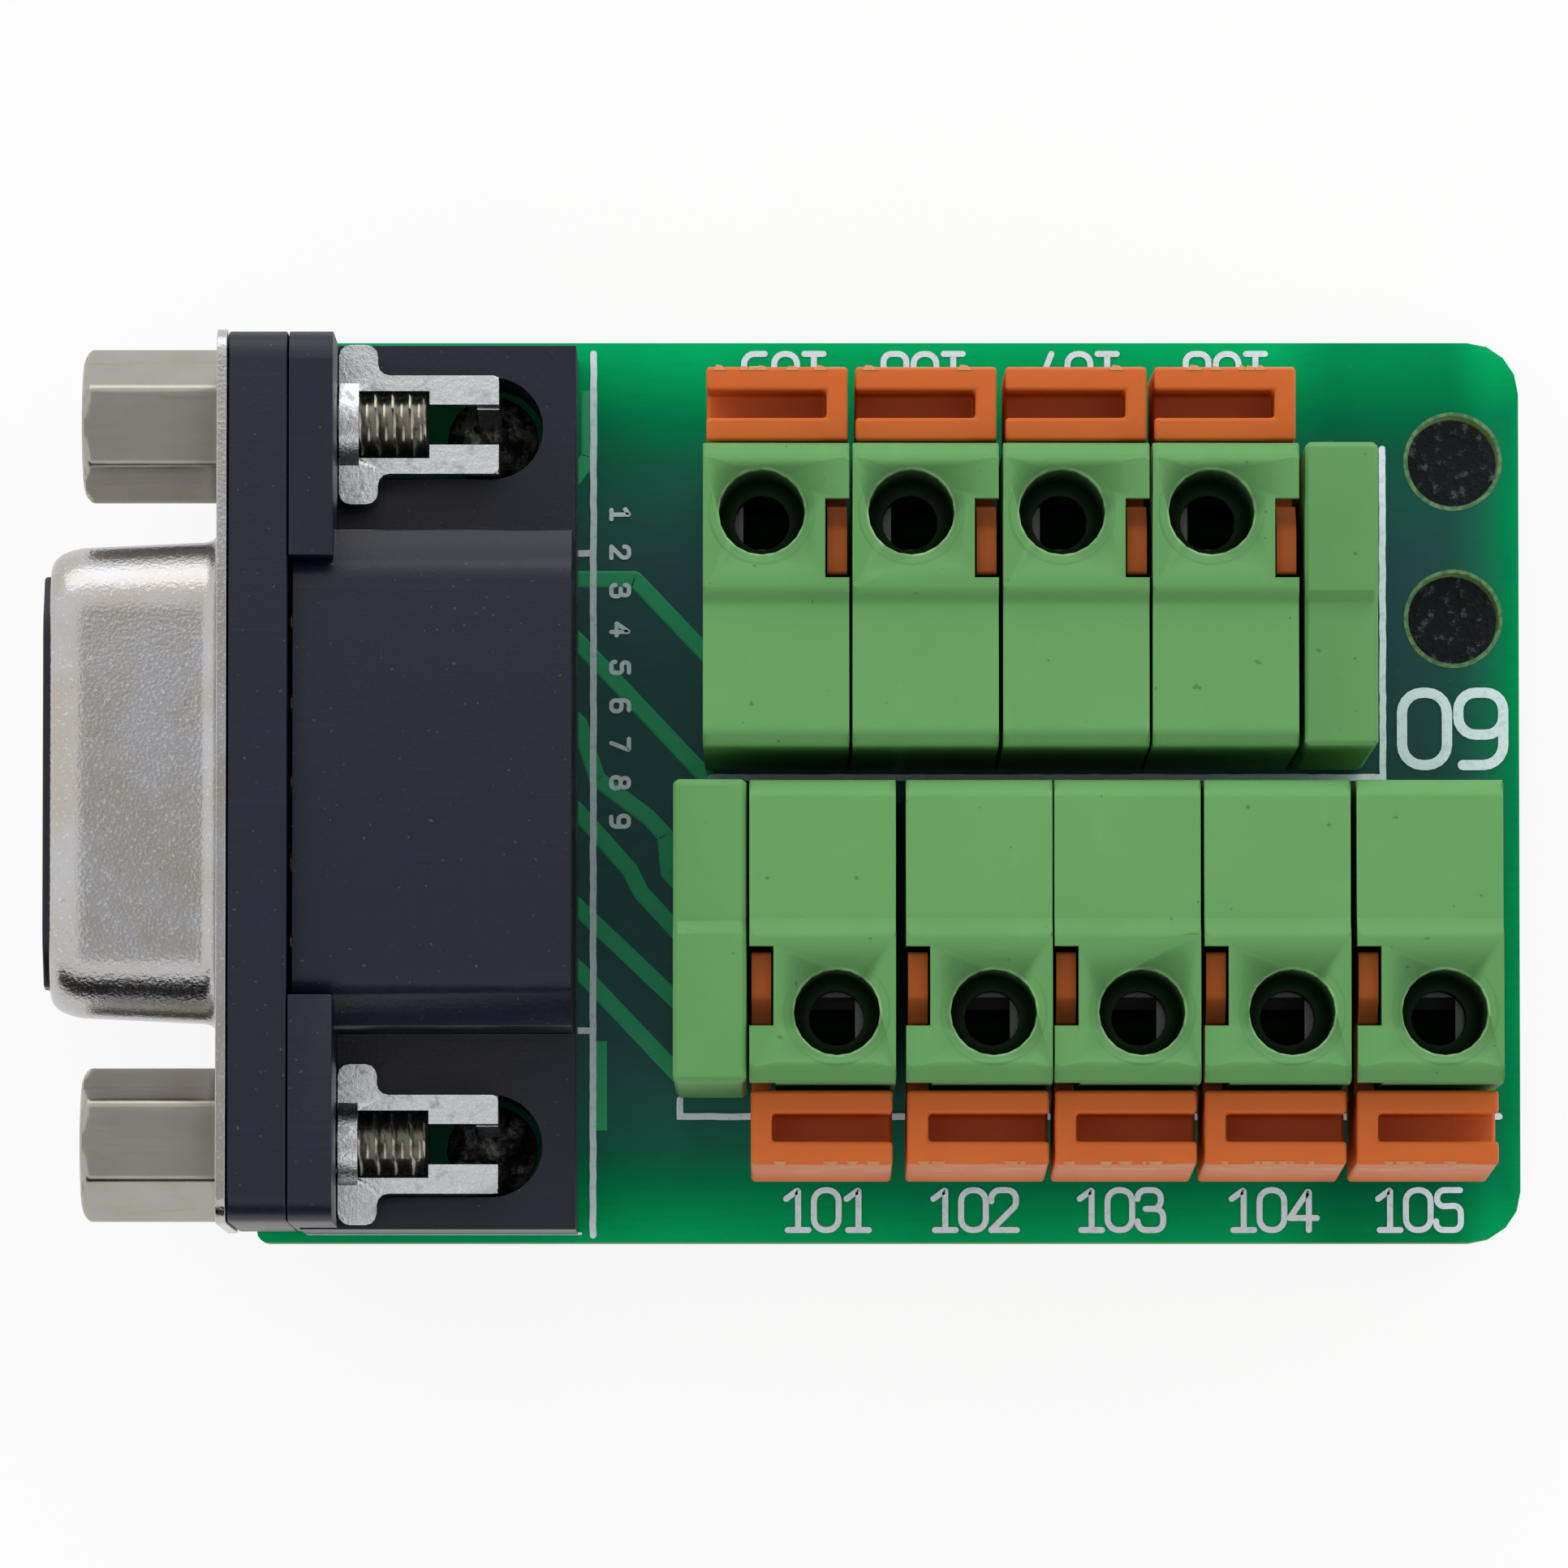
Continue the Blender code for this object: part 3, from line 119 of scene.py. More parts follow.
class Signal:
    """One output of a shader node, used as a number in Python arithmetic."""

    def __init__(self, nodes, socket):
        self.nodes = nodes
        self.socket = socket

    def maths(self, operation, *others):
        values = dict(enumerate((self, *others)))
        return self.nodes.node("Math", {"operation": operation}, values)

    def __add__(self, other):
        return self.maths("ADD", other)

    def __mul__(self, other):
        return self.maths("MULTIPLY", other)

    def __sub__(self, other):
        return self.maths("SUBTRACT", other)

    def __rsub__(self, other):
        return self.nodes.node("Math", {"operation": "SUBTRACT"}, {0: other, 1: self})

    def __truediv__(self, other):
        return self.maths("DIVIDE", other)

    __radd__ = __add__
    __rmul__ = __mul__

    def above(self, edge, blur):
        """0 below edge, 1 above edge + blur, smooth between."""
        return self.nodes.node("MapRange", {"interpolation_type": "SMOOTHSTEP"},
                               {"Value": self, "From Min": edge, "From Max": edge + blur})

    def below(self, edge, blur):
        """1 below edge, 0 above edge + blur, smooth between."""
        return 1.0 - self.above(edge, blur)

    def near(self, level, reach, blur):
        """1 within reach of a level, 0 beyond reach + blur."""
        return (self - level).size().below(reach, blur)

    def low(self, other):
        return self.maths("MINIMUM", other)

    def high(self, other):
        return self.maths("MAXIMUM", other)

    def size(self):
        return self.maths("ABSOLUTE")


class Nodes:
    """Adds nodes to one shader tree."""

    def __init__(self, tree, place):
        self.tree = tree
        self.place = self.node("TexCoord", output=place)

    def node(self, kind, settings=None, inputs=None, output=0):
        node = self.tree.nodes.new("ShaderNode" + kind)
        for name, value in (settings or {}).items():
            if name == "stops":
                self.set_stops(node.color_ramp, value)
            else:
                setattr(node, name, value)
        for name, value in (inputs or {}).items():
            self.feed(node.inputs[name], value)
        return Signal(self, node.outputs[output])

    def set_stops(self, ramp, stops):
        while len(ramp.elements) < len(stops):
            ramp.elements.new(0.5)
        for element, (position, colour) in zip(ramp.elements, stops):
            element.position = position
            element.color = (*colour, 1.0)

    def feed(self, socket, value):
        if isinstance(value, Signal):
            self.tree.links.new(value.socket, socket)
        elif socket.type == "RGBA":
            socket.default_value = (*value, 1.0)
        else:
            socket.default_value = value

    def axis(self, name):
        return self.node("SeparateXYZ", inputs={0: self.place}, output="XYZ".index(name))

    def ramp(self, value, *stops):
        return self.node("ValToRGB", {"stops": stops}, {"Fac": value})

    def seen_directly(self):
        """1 where the lens, metal or glass looks, 0 where light falls on the object."""
        lens, metal, glass = (self.node("LightPath", output=f"Is {kind} Ray")
                              for kind in ("Camera", "Glossy", "Transmission"))
        return lens.high(metal).high(glass)


class Finish(Nodes):
    """A material with its Principled shader, whose constants are named here."""

    def __init__(self, name, **constants):
        self.material = bpy.data.materials.new(name)
        self.material.use_nodes = True
        super().__init__(self.material.node_tree, "Object")
        self.shader = self.tree.nodes["Principled BSDF"]
        apart = self.node("VectorMath", {"operation": "SCALE"},
                          {0: self.node("ObjectInfo", output="Random"), "Scale": 3.0})
        self.spot = self.node("VectorMath", {"operation": "ADD"}, {0: self.place, 1: apart})
        for socket, value in constants.items():
            self.feed(self.shader.inputs[socket.replace("_", " ")], value)

    def noise(self, scale, detail=2.0, roughness=0.5, stretch=None):
        """Noise from 0 to 1 with features about 1/scale metres across."""
        place = self.spot
        if stretch:
            place = self.node("Mapping", inputs={"Vector": place, "Scale": stretch})
        return self.node("TexNoise", inputs={"Vector": place, "Scale": scale, "Detail": detail,
                                             "Roughness": roughness})

    def mix(self, factor, first, second, blend="MIX"):
        settings = {"data_type": "RGBA", "blend_type": blend}
        return self.node("Mix", settings, {0: factor, 6: first, 7: second}, output=2)

    def bump(self, height, rise, strength=1.0, after=None):
        """Relief of a height signal, rise millimetres deep."""
        inputs = {"Height": height, "Distance": rise * MM, "Strength": strength}
        if after:
            inputs["Normal"] = after
        return self.node("Bump", inputs=inputs)

    def build(self, colour, roughness, normal):
        """The material, once its colour, roughness and relief are fed in."""
        inputs = {"Base Color": colour, "Roughness": roughness, "Normal": normal}
        for name, value in inputs.items():
            self.feed(self.shader.inputs[name], value)
        return self.material

    def surface(self, shader):
        self.feed(self.tree.nodes["Material Output"].inputs["Surface"], shader)
        return self.material


def board_finish():
    """Green solder mask, painted bright near the rim as if lit through it, and painted dark inward
    as shade.
    """
    finish = Finish("solder_mask", Specular_IOR_Level=0.03)
    x = finish.axis("X") / MM
    y = finish.axis("Y") / MM
    z = finish.axis("Z") / MM
    upper = BOARD_HIGH.y - y
    lower = (y - BOARD_LOW.y) * 1.05 + 0.7
    right = (BOARD_HIGH.x - x) * 1.7 + 2.0
    # Painted light and shade: the mask's colour runs from bright at the board's edges to dark
    # further in.
    inward = upper.low(lower).low(right) + (finish.noise(200.0, 3.0) * 1.6 - 0.8)
    mask = finish.ramp(inward / 8.0, (0.0, (0.0, 0.5, 0.16)), (0.2, (0.0, 0.35, 0.105)),
                       (0.35, (0.0, 0.24, 0.09)), (0.5, (0.012, 0.165, 0.095)),
                       (0.78, (0.03, 0.14, 0.115)), (1.0, (0.042, 0.12, 0.125)))
    # Painted shade: a band of the board beside the poles is darkened.
    pole_shade_band = x.above(16.5, 3.0) - x.above(23.2, 1.8)
    mask = finish.mix(pole_shade_band * 0.4, mask, (0.0, 0.01, 0.014))
    cloth = finish.noise(1100.0, 1.0, 0.5, (1.0, 5.0, 1.0))
    mask = finish.mix(cloth.above(0.45, 0.3) * 0.08, mask, (0.012, 0.05, 0.04))
    grain = finish.noise(2600.0, 2.0, 0.7)
    mask = finish.mix(grain.above(0.7, 0.12) * 0.2, mask, (0.1, 0.25, 0.17))
    fibre = finish.mix(finish.noise(5000.0, 2.0, 0.5, (0.3, 0.3, 3.0)), (0.2, 0.3, 0.1),
                       (0.36, 0.44, 0.22))
    faces = (BOARD_TOP - z).above(0.02, 0.02) * (z - BOARD_UNDER).above(0.02, 0.02)
    colour = finish.mix(faces, mask, fibre)
    height = finish.noise(700.0, 3.0, 0.6)
    return finish.build(colour, 0.34 + faces * 0.4 + grain * 0.1, finish.bump(height, 0.01))


def toned_finish(name, dark, pale, texture, roughness, spread=0.0, part=None, grain=None,
                 rise=0.01, **constants):
    """Two tones mixed by a noise, or parted by it, with relief from it or from a finer one."""
    finish = Finish(name, **constants)
    cloud = finish.noise(*texture)
    colour = finish.mix(cloud.above(*part) if part else cloud, dark, pale)
    return finish.build(colour, roughness + cloud * spread if spread else roughness,
                        finish.bump(finish.noise(grain) if grain else cloud, rise))


def pad_finish():
    finish = Finish("tinned_pad", Metallic=1.0)
    colour = finish.mix(finish.noise(2500.0, 3.0), (0.5, 0.5, 0.49), (0.74, 0.74, 0.73))
    return finish.build(colour, finish.noise(1800.0) * 0.25 + 0.15,
                        finish.bump(finish.noise(2600.0, 2.0), 0.02))


def nickel_finish():
    """Drawn and plated steel: fine pebbled skin, warm in the shade, small dark pits."""
    finish = Finish("plated_nickel", Metallic=1.0)
    pebble = finish.noise(8500.0, 1.5, 0.5)
    cloud = finish.noise(300.0, 3.0, 0.6)
    pits = finish.noise(3600.0, 2.0, 0.6).above(0.68, 0.07)
    colour = finish.mix(cloud.above(0.35, 0.3), (0.47, 0.435, 0.4), (0.5, 0.5, 0.515))
    colour = finish.mix(pebble.above(0.6, 0.14) * 0.5, colour, (0.78, 0.77, 0.75))
    colour = finish.mix(pits * 0.35, colour, (0.22, 0.18, 0.13))
    return finish.build(colour, 0.15 + pebble * 0.1 + cloud * 0.06, finish.bump(pebble, 0.016))


def turned_nickel_finish():
    """Bar-turned and plated hex: faint draw lines along the flats and a yellow cast."""
    finish = Finish("turned_nickel", Metallic=1.0)
    lines = finish.noise(1700.0, 3.0, 0.6, (0.12, 1.0, 1.0))
    cloud = finish.noise(500.0, 3.0, 0.6)
    colour = finish.mix(cloud, (0.34, 0.32, 0.27), (0.43, 0.415, 0.375))
    colour = finish.mix(lines.above(0.58, 0.2) * 0.35, colour, (0.24, 0.2, 0.13))
    return finish.build(colour, 0.18 + lines * 0.16, finish.bump(lines, 0.018, 0.8))


def tin_finish():
    """Bright tin on stamped sheet, scuffed grey where it was pressed and tumbled."""
    finish = Finish("stamped_tin", Metallic=1.0)
    scuff = finish.noise(1500.0, 5.0, 0.75).above(0.5, 0.16)
    dents = finish.noise(5200.0, 4.0, 0.7)
    colour = finish.mix(scuff, (0.78, 0.8, 0.82), (0.52, 0.53, 0.55))
    colour = finish.mix(dents.above(0.66, 0.08) * 0.6, colour, (0.12, 0.12, 0.13))
    normal = finish.bump(dents, 0.04, 0.7)
    return finish.build(colour, 0.2 + scuff * 0.25, normal)


def cage_finish():
    """Current bar: bright tin on its pins, with painted shade, near black, up inside the pole."""
    finish = Finish("tinned_bar", Metallic=1.0)
    cloud = finish.noise(2400.0, 3.0)
    inside = (finish.axis("Z") / MM).above(BOARD_UNDER, 1.0)
    colour = finish.mix(cloud, (0.5, 0.5, 0.5), (0.7, 0.7, 0.69))
    # Painted shade: the bar darkens almost to black above the board's underside.
    colour = finish.mix(inside * 0.85, colour, (0.02, 0.02, 0.02))
    return finish.build(colour, 0.3 + cloud * 0.2, finish.bump(cloud, 0.01))


def black_finish():
    """Blue-black moulding with flow lines along the connector and fine dust."""
    finish = Finish("black_moulding", Specular_IOR_Level=0.45)
    grain = finish.noise(6500.0, 3.0, 0.65)
    lines = finish.noise(1500.0, 4.0, 0.75, (0.05, 1.0, 1.0))
    dust = finish.noise(5200.0, 1.0, 0.4).above(0.74, 0.04)
    colour = finish.mix(grain, (0.001, 0.002, 0.012), (0.003, 0.004, 0.02))
    colour = finish.mix(lines.above(0.55, 0.2) * 0.4, colour, (0.012, 0.013, 0.036))
    colour = finish.mix(dust * 0.35, colour, (0.12, 0.12, 0.14))
    normal = finish.bump(grain, 0.012, 0.8)
    normal = finish.bump(lines, 0.012, 0.7, normal)
    return finish.build(colour, 0.34 + grain * 0.12, normal)


def green_finish(name, ringed=False):
    """Light green moulding: soft clouding, spark texture, specks, a ring at each wire hole, painted
    light in it.
    """
    finish = Finish(name, Specular_IOR_Level=0.35, Subsurface_Weight=0.04,
                    Subsurface_Scale=0.6 * MM)
    cloud = finish.noise(260.0, 3.0, 0.55)
    grain = finish.noise(7000.0, 3.0, 0.6)
    specks = finish.noise(3300.0, 1.0, 0.3).above(0.78, 0.03)
    flow = finish.noise(600.0, 3.0, 0.6, (1.0, 0.35, 0.35))
    colour = finish.mix(cloud, (0.096, 0.282, 0.079), (0.12, 0.325, 0.102))
    colour = finish.mix(flow.above(0.6, 0.2) * 0.2, colour, (0.15, 0.38, 0.125))
    colour = finish.mix(specks * 0.5, colour, (0.025, 0.07, 0.025))
    normal = finish.bump(grain, 0.008, 0.8)
    normal = finish.bump(cloud, 0.02, 0.5, normal)
    if ringed:
        flat = finish.node("Mapping", inputs={"Vector": finish.place, "Scale": (1.0, 1.0, 0.0)})
        radius = finish.node("VectorMath", {"operation": "LENGTH"}, {0: flat}, "Value") / MM
        radius = radius + finish.noise(900.0) * 0.06
        ring = radius.near(RING_RADIUS + 0.03, 0.02, 0.05)
        inner = radius.below(HOLE_RADIUS + 0.03, 0.1)
        step = radius.below(RING_RADIUS - 0.02, 0.1)
        # Painted highlight: pale patchy flecks along the wire hole's lip.
        wear_and_glint_patches = finish.noise(1500.0, 2.0).above(0.42, 0.12)
        lip = radius.near(HOLE_RADIUS + 0.04, 0.015, 0.03) * wear_and_glint_patches
        colour = finish.mix(ring * 0.3, colour, (0.05, 0.2, 0.04))
        colour = finish.mix(lip * 0.5, colour, (0.4, 0.62, 0.36))
        # Painted highlight near the top of the hole's wall, and painted shade, near black, deeper
        # down.
        down = (POLE_TOP - finish.axis("Z") / MM).above(0.1, 0.9)
        colour = finish.mix(inner * (1.0 - down) * 0.5, colour, (0.22, 0.46, 0.18))
        colour = finish.mix(inner * down * 0.8, colour, (0.006, 0.02, 0.008))
        # Painted light: the flat back of the top is made a little lighter.
        back = (finish.axis("Y") / MM).above(CREASE, 0.1)
        colour = finish.mix(back, colour, (1.14, 1.13, 1.14), "MULTIPLY")
        normal = finish.bump(step, 0.02, 0.8, normal)
    return finish.build(colour, 0.5 + grain * 0.16, normal)


def orange_finish():
    """Orange moulding, with the outer faces planed pale and torn along the lever."""
    finish = Finish("orange_moulding", Specular_IOR_Level=0.3, Subsurface_Weight=0.04,
                    Subsurface_Scale=0.6 * MM)
    y = finish.axis("Y") / MM
    cloud = finish.noise(420.0, 3.0, 0.55)
    grain = finish.noise(6500.0, 3.0, 0.6)
    torn = finish.noise(2600.0, 4.0, 0.7, (0.12, 1.0, 0.6))
    wear_and_glint_patches = finish.noise(700.0, 2.0).above(0.35, 0.3)
    outer = (OUTER_FACE - y).above(0.0, 0.05)
    high = (finish.axis("Z") / MM).above(SCUFF_BASE, SCUFF_FADE)
    scuff = outer * high * torn.above(0.36, 0.24) * (0.35 + wear_and_glint_patches * 0.65)
    colour = finish.mix(cloud, (0.58, 0.112, 0.013), (0.66, 0.142, 0.022))
    colour = finish.mix(grain.above(0.66, 0.1) * 0.15, colour, (0.66, 0.24, 0.08))
    colour = finish.mix(scuff * 0.85, colour, (0.58, 0.36, 0.23))
    normal = finish.bump(grain, 0.008, 0.8)
    normal = finish.bump(scuff * torn, 0.06, 0.8, normal)
    return finish.build(colour, 0.46 + grain * 0.14 + scuff * 0.15, normal)


TRACE = toned_finish("covered_trace", (0.034, 0.4, 0.17), (0.04, 0.47, 0.2), (1500.0,), 0.36,
                     grain=900.0, Specular_IOR_Level=0.15)
LEGEND = toned_finish("legend_ink", (0.66, 0.8, 0.88), (0.8, 0.93, 1.0), (3400.0, 3.0, 0.7), 0.55,
                      part=(0.34, 0.16), grain=5000.0)
RIM = toned_finish("drilled_rim", (0.05, 0.16, 0.07), (0.14, 0.25, 0.1), (4000.0, 3.0), 0.6,
                   part=(0.4, 0.2), grain=6000.0, rise=0.02)
FLUX = toned_finish("fluxed_solder", (0.05, 0.05, 0.052), (0.4, 0.4, 0.37), (1500.0, 4.0, 0.7),
                    0.2, 0.3, part=(0.45, 0.2), rise=0.1, Metallic=0.7)
STEEL = toned_finish("spring_strip", (0.12, 0.12, 0.125), (0.26, 0.26, 0.27),
                     (2400.0, 3.0, 0.6, (1.0, 0.1, 0.1)), 0.25, 0.2, Metallic=1.0)
GOLD = toned_finish("flash_gold", (0.72, 0.5, 0.2), (0.86, 0.68, 0.36), (2400.0, 3.0), 0.2, 0.2,
                    Metallic=1.0)
FLASH = toned_finish("lever_flash", (0.55, 0.18, 0.05), (0.6, 0.3, 0.14), (3000.0,), 0.6,
                     grain=6000.0)
FOAM = toned_finish("dark_foam", (0.022, 0.025, 0.035), (0.2, 0.21, 0.25), (2600.0, 3.0, 0.7),
                    0.9, part=(0.55, 0.15), rise=0.2)

# Finishes by name
FINISHES = {
    "board": board_finish(), "trace": TRACE, "legend": LEGEND, "rim": RIM, "pad": pad_finish(),
    "flux": FLUX, "tin": tin_finish(), "cage": cage_finish(), "nickel": nickel_finish(),
    "turned": turned_nickel_finish(), "steel": STEEL, "gold": GOLD, "black": black_finish(),
    "green": green_finish("green_moulding"), "pole": green_finish("pole_moulding", ringed=True),
    "orange": orange_finish(), "flash": FLASH,
}


# Making and placing pieces


def dress(piece, finish, body="root", instead=()):
    """Gives a piece its finish and its body, and hides the nodes it stands for."""
    piece.data.materials.clear()
    piece.data.materials.append(FINISHES[finish])
    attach(piece, body)
    if instead:
        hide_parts(*instead)


def new_object(name, data):
    thing = bpy.data.objects.new(name, data)
    bpy.context.scene.collection.objects.link(thing)
    return thing


def shade(piece, degrees):
    """Smooth shading that keeps edges sharper than an angle."""
    piece.data.shade_smooth()
    piece.data.set_sharp_from_angle(angle=math.radians(degrees))


def mesh_piece(name, fill, smooth=None):
    """Mesh object from a function that fills a bmesh in millimetres."""
    shape = bmesh.new()
    fill(shape)
    bmesh.ops.scale(shape, vec=(MM, MM, MM), verts=shape.verts)
    bmesh.ops.recalc_face_normals(shape, faces=shape.faces)
    mesh = bpy.data.meshes.new(name)
    shape.to_mesh(mesh)
    shape.free()
    piece = new_object(name, mesh)
    if smooth:
        shade(piece, smooth)
    return piece


def round_edges(piece, width, segments=3, degrees=34.0):
    bevel = piece.modifiers.new("Edges", "BEVEL")
    bevel.width = width * MM
    bevel.segments = segments
    bevel.limit_method = "ANGLE"
    bevel.angle_limit = math.radians(degrees)
    bevel.use_clamp_overlap = True
    bevel.harden_normals = True


def weigh_normals(piece):
    """Keeps large flat faces flat in the shading."""
    piece.modifiers.new("Flats", "WEIGHTED_NORMAL").keep_sharp = True


def add_softened(node, finish, width=0.0, segments=2, place=Matrix(), reshape=None):
    """Stands in for a CAD node: a copy in axes of its own, flat faces merged, edges rounded."""
    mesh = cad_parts[node].data.copy()
    mesh.transform(place.inverted())
    shape = bmesh.new()
    shape.from_mesh(mesh)
    bmesh.ops.remove_doubles(shape, verts=shape.verts, dist=0.002 * MM)
    bmesh.ops.dissolve_limit(shape, angle_limit=math.radians(0.6), verts=shape.verts,
                             edges=shape.edges)
    bmesh.ops.connect_verts_concave(shape, faces=shape.faces)
    if reshape:
        reshape(shape)
    shape.to_mesh(mesh)
    shape.free()
    piece = new_object(node + "_moulding", mesh)
    piece.matrix_world = place
    shade(piece, 32.0)
    if width:
        round_edges(piece, width, segments)
    else:
        weigh_normals(piece)
    dress(piece, finish, instead=[node])


# Camera, light and floor

SURROUND = ((0.0, 1.0), (0.35, 1.1), (0.7, 0.95), (0.9, 0.75), (1.0, 0.7))  # by height
SIDE_LEVELS = (0.7, 1.3)  # in front, behind
FLOOR_GLOW = 0.86  # share of white that the lens sees in the floor


def add_camera():
    data = bpy.data.cameras.new("camera")
    data.sensor_width = SENSOR
    data.lens = PIXELS_PER_MM * VIEW_DISTANCE * SENSOR / PHOTO_SIZE
    data.clip_end = 10.0
    camera = new_object("camera", data)
    target = Vector((*PHOTO_CENTRE, BOARD_TOP))
    back = Vector((0, -math.sin(VIEW_TILT), math.cos(VIEW_TILT)))
    camera.location = (target + back * VIEW_DISTANCE) * MM
    camera.rotation_euler = (VIEW_TILT, 0, 0)
    bpy.context.scene.camera = camera
    bpy.context.scene.view_settings.view_transform = "Standard"


def aim(thing, place):
    """Puts a thing at a place, facing the part."""
    thing.location = place
    thing.rotation_euler = (-Vector(place)).to_track_quat("-Z", "Y").to_euler()


def add_softbox(name, place, size, power):
    data = bpy.data.lights.new(name, "AREA")
    data.shape = "RECTANGLE"
    data.size, data.size_y = size
    data.energy = power
    aim(new_object(name, data), place)


def add_card(name, place, size, level):
    """Studio card that shows in metal and gives it contrast."""
    card = mesh_piece(name, lambda shape: bmesh.ops.create_grid(shape, size=500.0))
    card.scale = (*size, 1.0)
    aim(card, place)
    card.visible_camera = card.visible_diffuse = card.visible_shadow = False
    finish = Finish(name)
    glow = finish.node("Emission", inputs={"Strength": level})
    card.data.materials.append(finish.surface(glow))


def add_world():
    """Studio surround: bright low down and behind the part, dimmer round the lens."""
    world = bpy.data.worlds.new("studio")
    world.use_nodes = True
    nodes = Nodes(world.node_tree, "Generated")
    stops = [(height, (level, level, level)) for height, level in SURROUND]
    level = nodes.ramp(nodes.axis("Z"), *stops)
    side = nodes.node("MapRange", inputs={"Value": nodes.axis("Y"), "From Min": -1.0,
                                          "To Min": SIDE_LEVELS[0], "To Max": SIDE_LEVELS[1]})
    strength = nodes.node("Mix", inputs={0: nodes.seen_directly(), 2: level * side, 3: 1.0})
    background = world.node_tree.nodes["Background"]
    nodes.feed(background.inputs["Color"], (1.0, 1.0, 1.0))
    nodes.feed(background.inputs["Strength"], strength)
    bpy.context.scene.world = world


def add_floor():
    floor = mesh_piece("floor", lambda shape: bmesh.ops.create_grid(shape, size=1500.0))
    finish = Finish("pale_floor", Base_Color=(0.9, 0.9, 0.9), Roughness=0.9)
    white = finish.node("Emission", inputs={"Color": (1.0, 1.0, 1.0)})
    matt = Signal(finish, finish.shader.outputs[0])
    shown = finish.node("MixShader", inputs={0: finish.seen_directly() * FLOOR_GLOW, 1: matt,
                                             2: white})
    floor.data.materials.append(finish.surface(shown))


add_camera()
add_world()
add_softbox("key", (0.0, 0.8, 0.33), (1.4, 0.6), 2.6)
add_card("lens_card", (0.0, -0.03, 0.45), (0.3, 0.3), 0.5)
add_card("front_card", (0.0, -0.5, 0.16), (1.6, 0.4), 0.0)
add_floor()


# D-sub


D_WIDTH = 17.7  # between the slanted sides' top corners, before rounding
D_HEIGHT = 7.9
D_CORNER = 2.6
D_SLANT = math.radians(10.0)
D_TAPER = 0.18
LIP_LENGTH = 1.4
LIP_INSET = 0.75
ROOT_FILLET = 0.6
FLANGE_CORNER = 1.0
SHELL_SHEET = 0.35
INSULATOR_KEEP = 6.3  # half width that holds the contact holes
INSULATOR_WIDEN = 1.0  # reach added beyond it, to fill the nose
INSULATOR_BLEND = 0.5  # over this distance
INSULATOR_NOSE = 0.5  # where its nose begins, ahead of the flange's front
SHOULDER_LIFT = 1.6
SHOULDER_FEET_Y = (8.3, 9.0)  # from the connector's middle, where the slopes end
SHOULDER_FEET_Z = (11.9, 12.5)
SCREW_HALF = 12.495
SCREW_HOLE = 3.1
FLANGE_FRONT = SHELL_HIGH.x - SHELL_SHEET
NOSE_REACH = FLANGE_FRONT - SHELL_LOW.x


def quarter(steps):
    """Angles from 0 to 90 degrees."""
    return [math.pi / 2 * step / steps for step in range(steps + 1)]


def rounded(corners, radii, steps):
    """Polygon outline whose corners are replaced by arcs."""
    outline = []
    count = len(corners)
    for index, corner in enumerate(corners):
        here = Vector(corner)
        back = (Vector(corners[index - 1]) - here).normalized()
        ahead = (Vector(corners[(index + 1) % count]) - here).normalized()
        radius = radii[index]
        if radius <= 0:
            outline.append(tuple(here))
            continue
        half = back.angle(ahead) / 2
        centre = here + (back + ahead).normalized() * (radius / math.sin(half))
        first = here + back * (radius / math.tan(half)) - centre
        last = here + ahead * (radius / math.tan(half)) - centre
        sweep = first.angle(last)
        side = 1 if first.x * last.y - first.y * last.x > 0 else -1
        for step in range(steps + 1):
            angle = side * sweep * step / steps
            outline.append((centre.x + first.x * math.cos(angle) - first.y * math.sin(angle),
                            centre.y + first.x * math.sin(angle) + first.y * math.cos(angle)))
    return outline


def d_ring(reach, inset):
    """D outline of the drawn nose, reach in front of the flange, as points in space."""
    half = D_HEIGHT / 2
    corners = []
    for side, z in ((-1, -half + inset), (1, -half + inset), (1, half - inset), (-1, half - inset)):
        width = D_WIDTH / 2 - (half - z) * math.tan(D_SLANT) - inset / math.cos(D_SLANT)
        corners.append((side * width, z))
    ring = rounded(corners, [D_CORNER - inset] * 4, steps=10)
    return [(FLANGE_FRONT - reach, y + DSUB_Y, z + DSUB_Z) for y, z in ring]


def circle(x, y, z, radius, count=32, upright=False):
    """Ring of points, flat on the level z or upright across X."""
    ring = []
    for step in range(count):
        turn = math.tau * step / count
        first = radius * math.cos(turn)
        second = radius * math.sin(turn)
        ring.append((x, y + first, z + second) if upright else (x + first, y + second, z))
    return ring


def band(shape, rings, ends=()):
    """Faces between each closed ring of points and the next, and over the rings at some ends."""
    rows = [[shape.verts.new(point) for point in ring] for ring in rings]
    for row, following in zip(rows, rows[1:]):
        for index in range(len(row)):
            ahead = (index + 1) % len(row)
            shape.faces.new((row[index], row[ahead], following[ahead], following[index]))
    for end in ends:
        shape.faces.new(rows[end])
    return rows


def fill_between(shape, loops):
    """Flat face bounded by the first loop, with the others as holes."""
    edges = []
    for loop in loops:
        for pair in zip(loop, loop[1:] + loop[:1]):
            edges.append(shape.edges.get(pair) or shape.edges.new(pair))
    bmesh.ops.triangle_fill(shape, edges=edges, use_beauty=True)


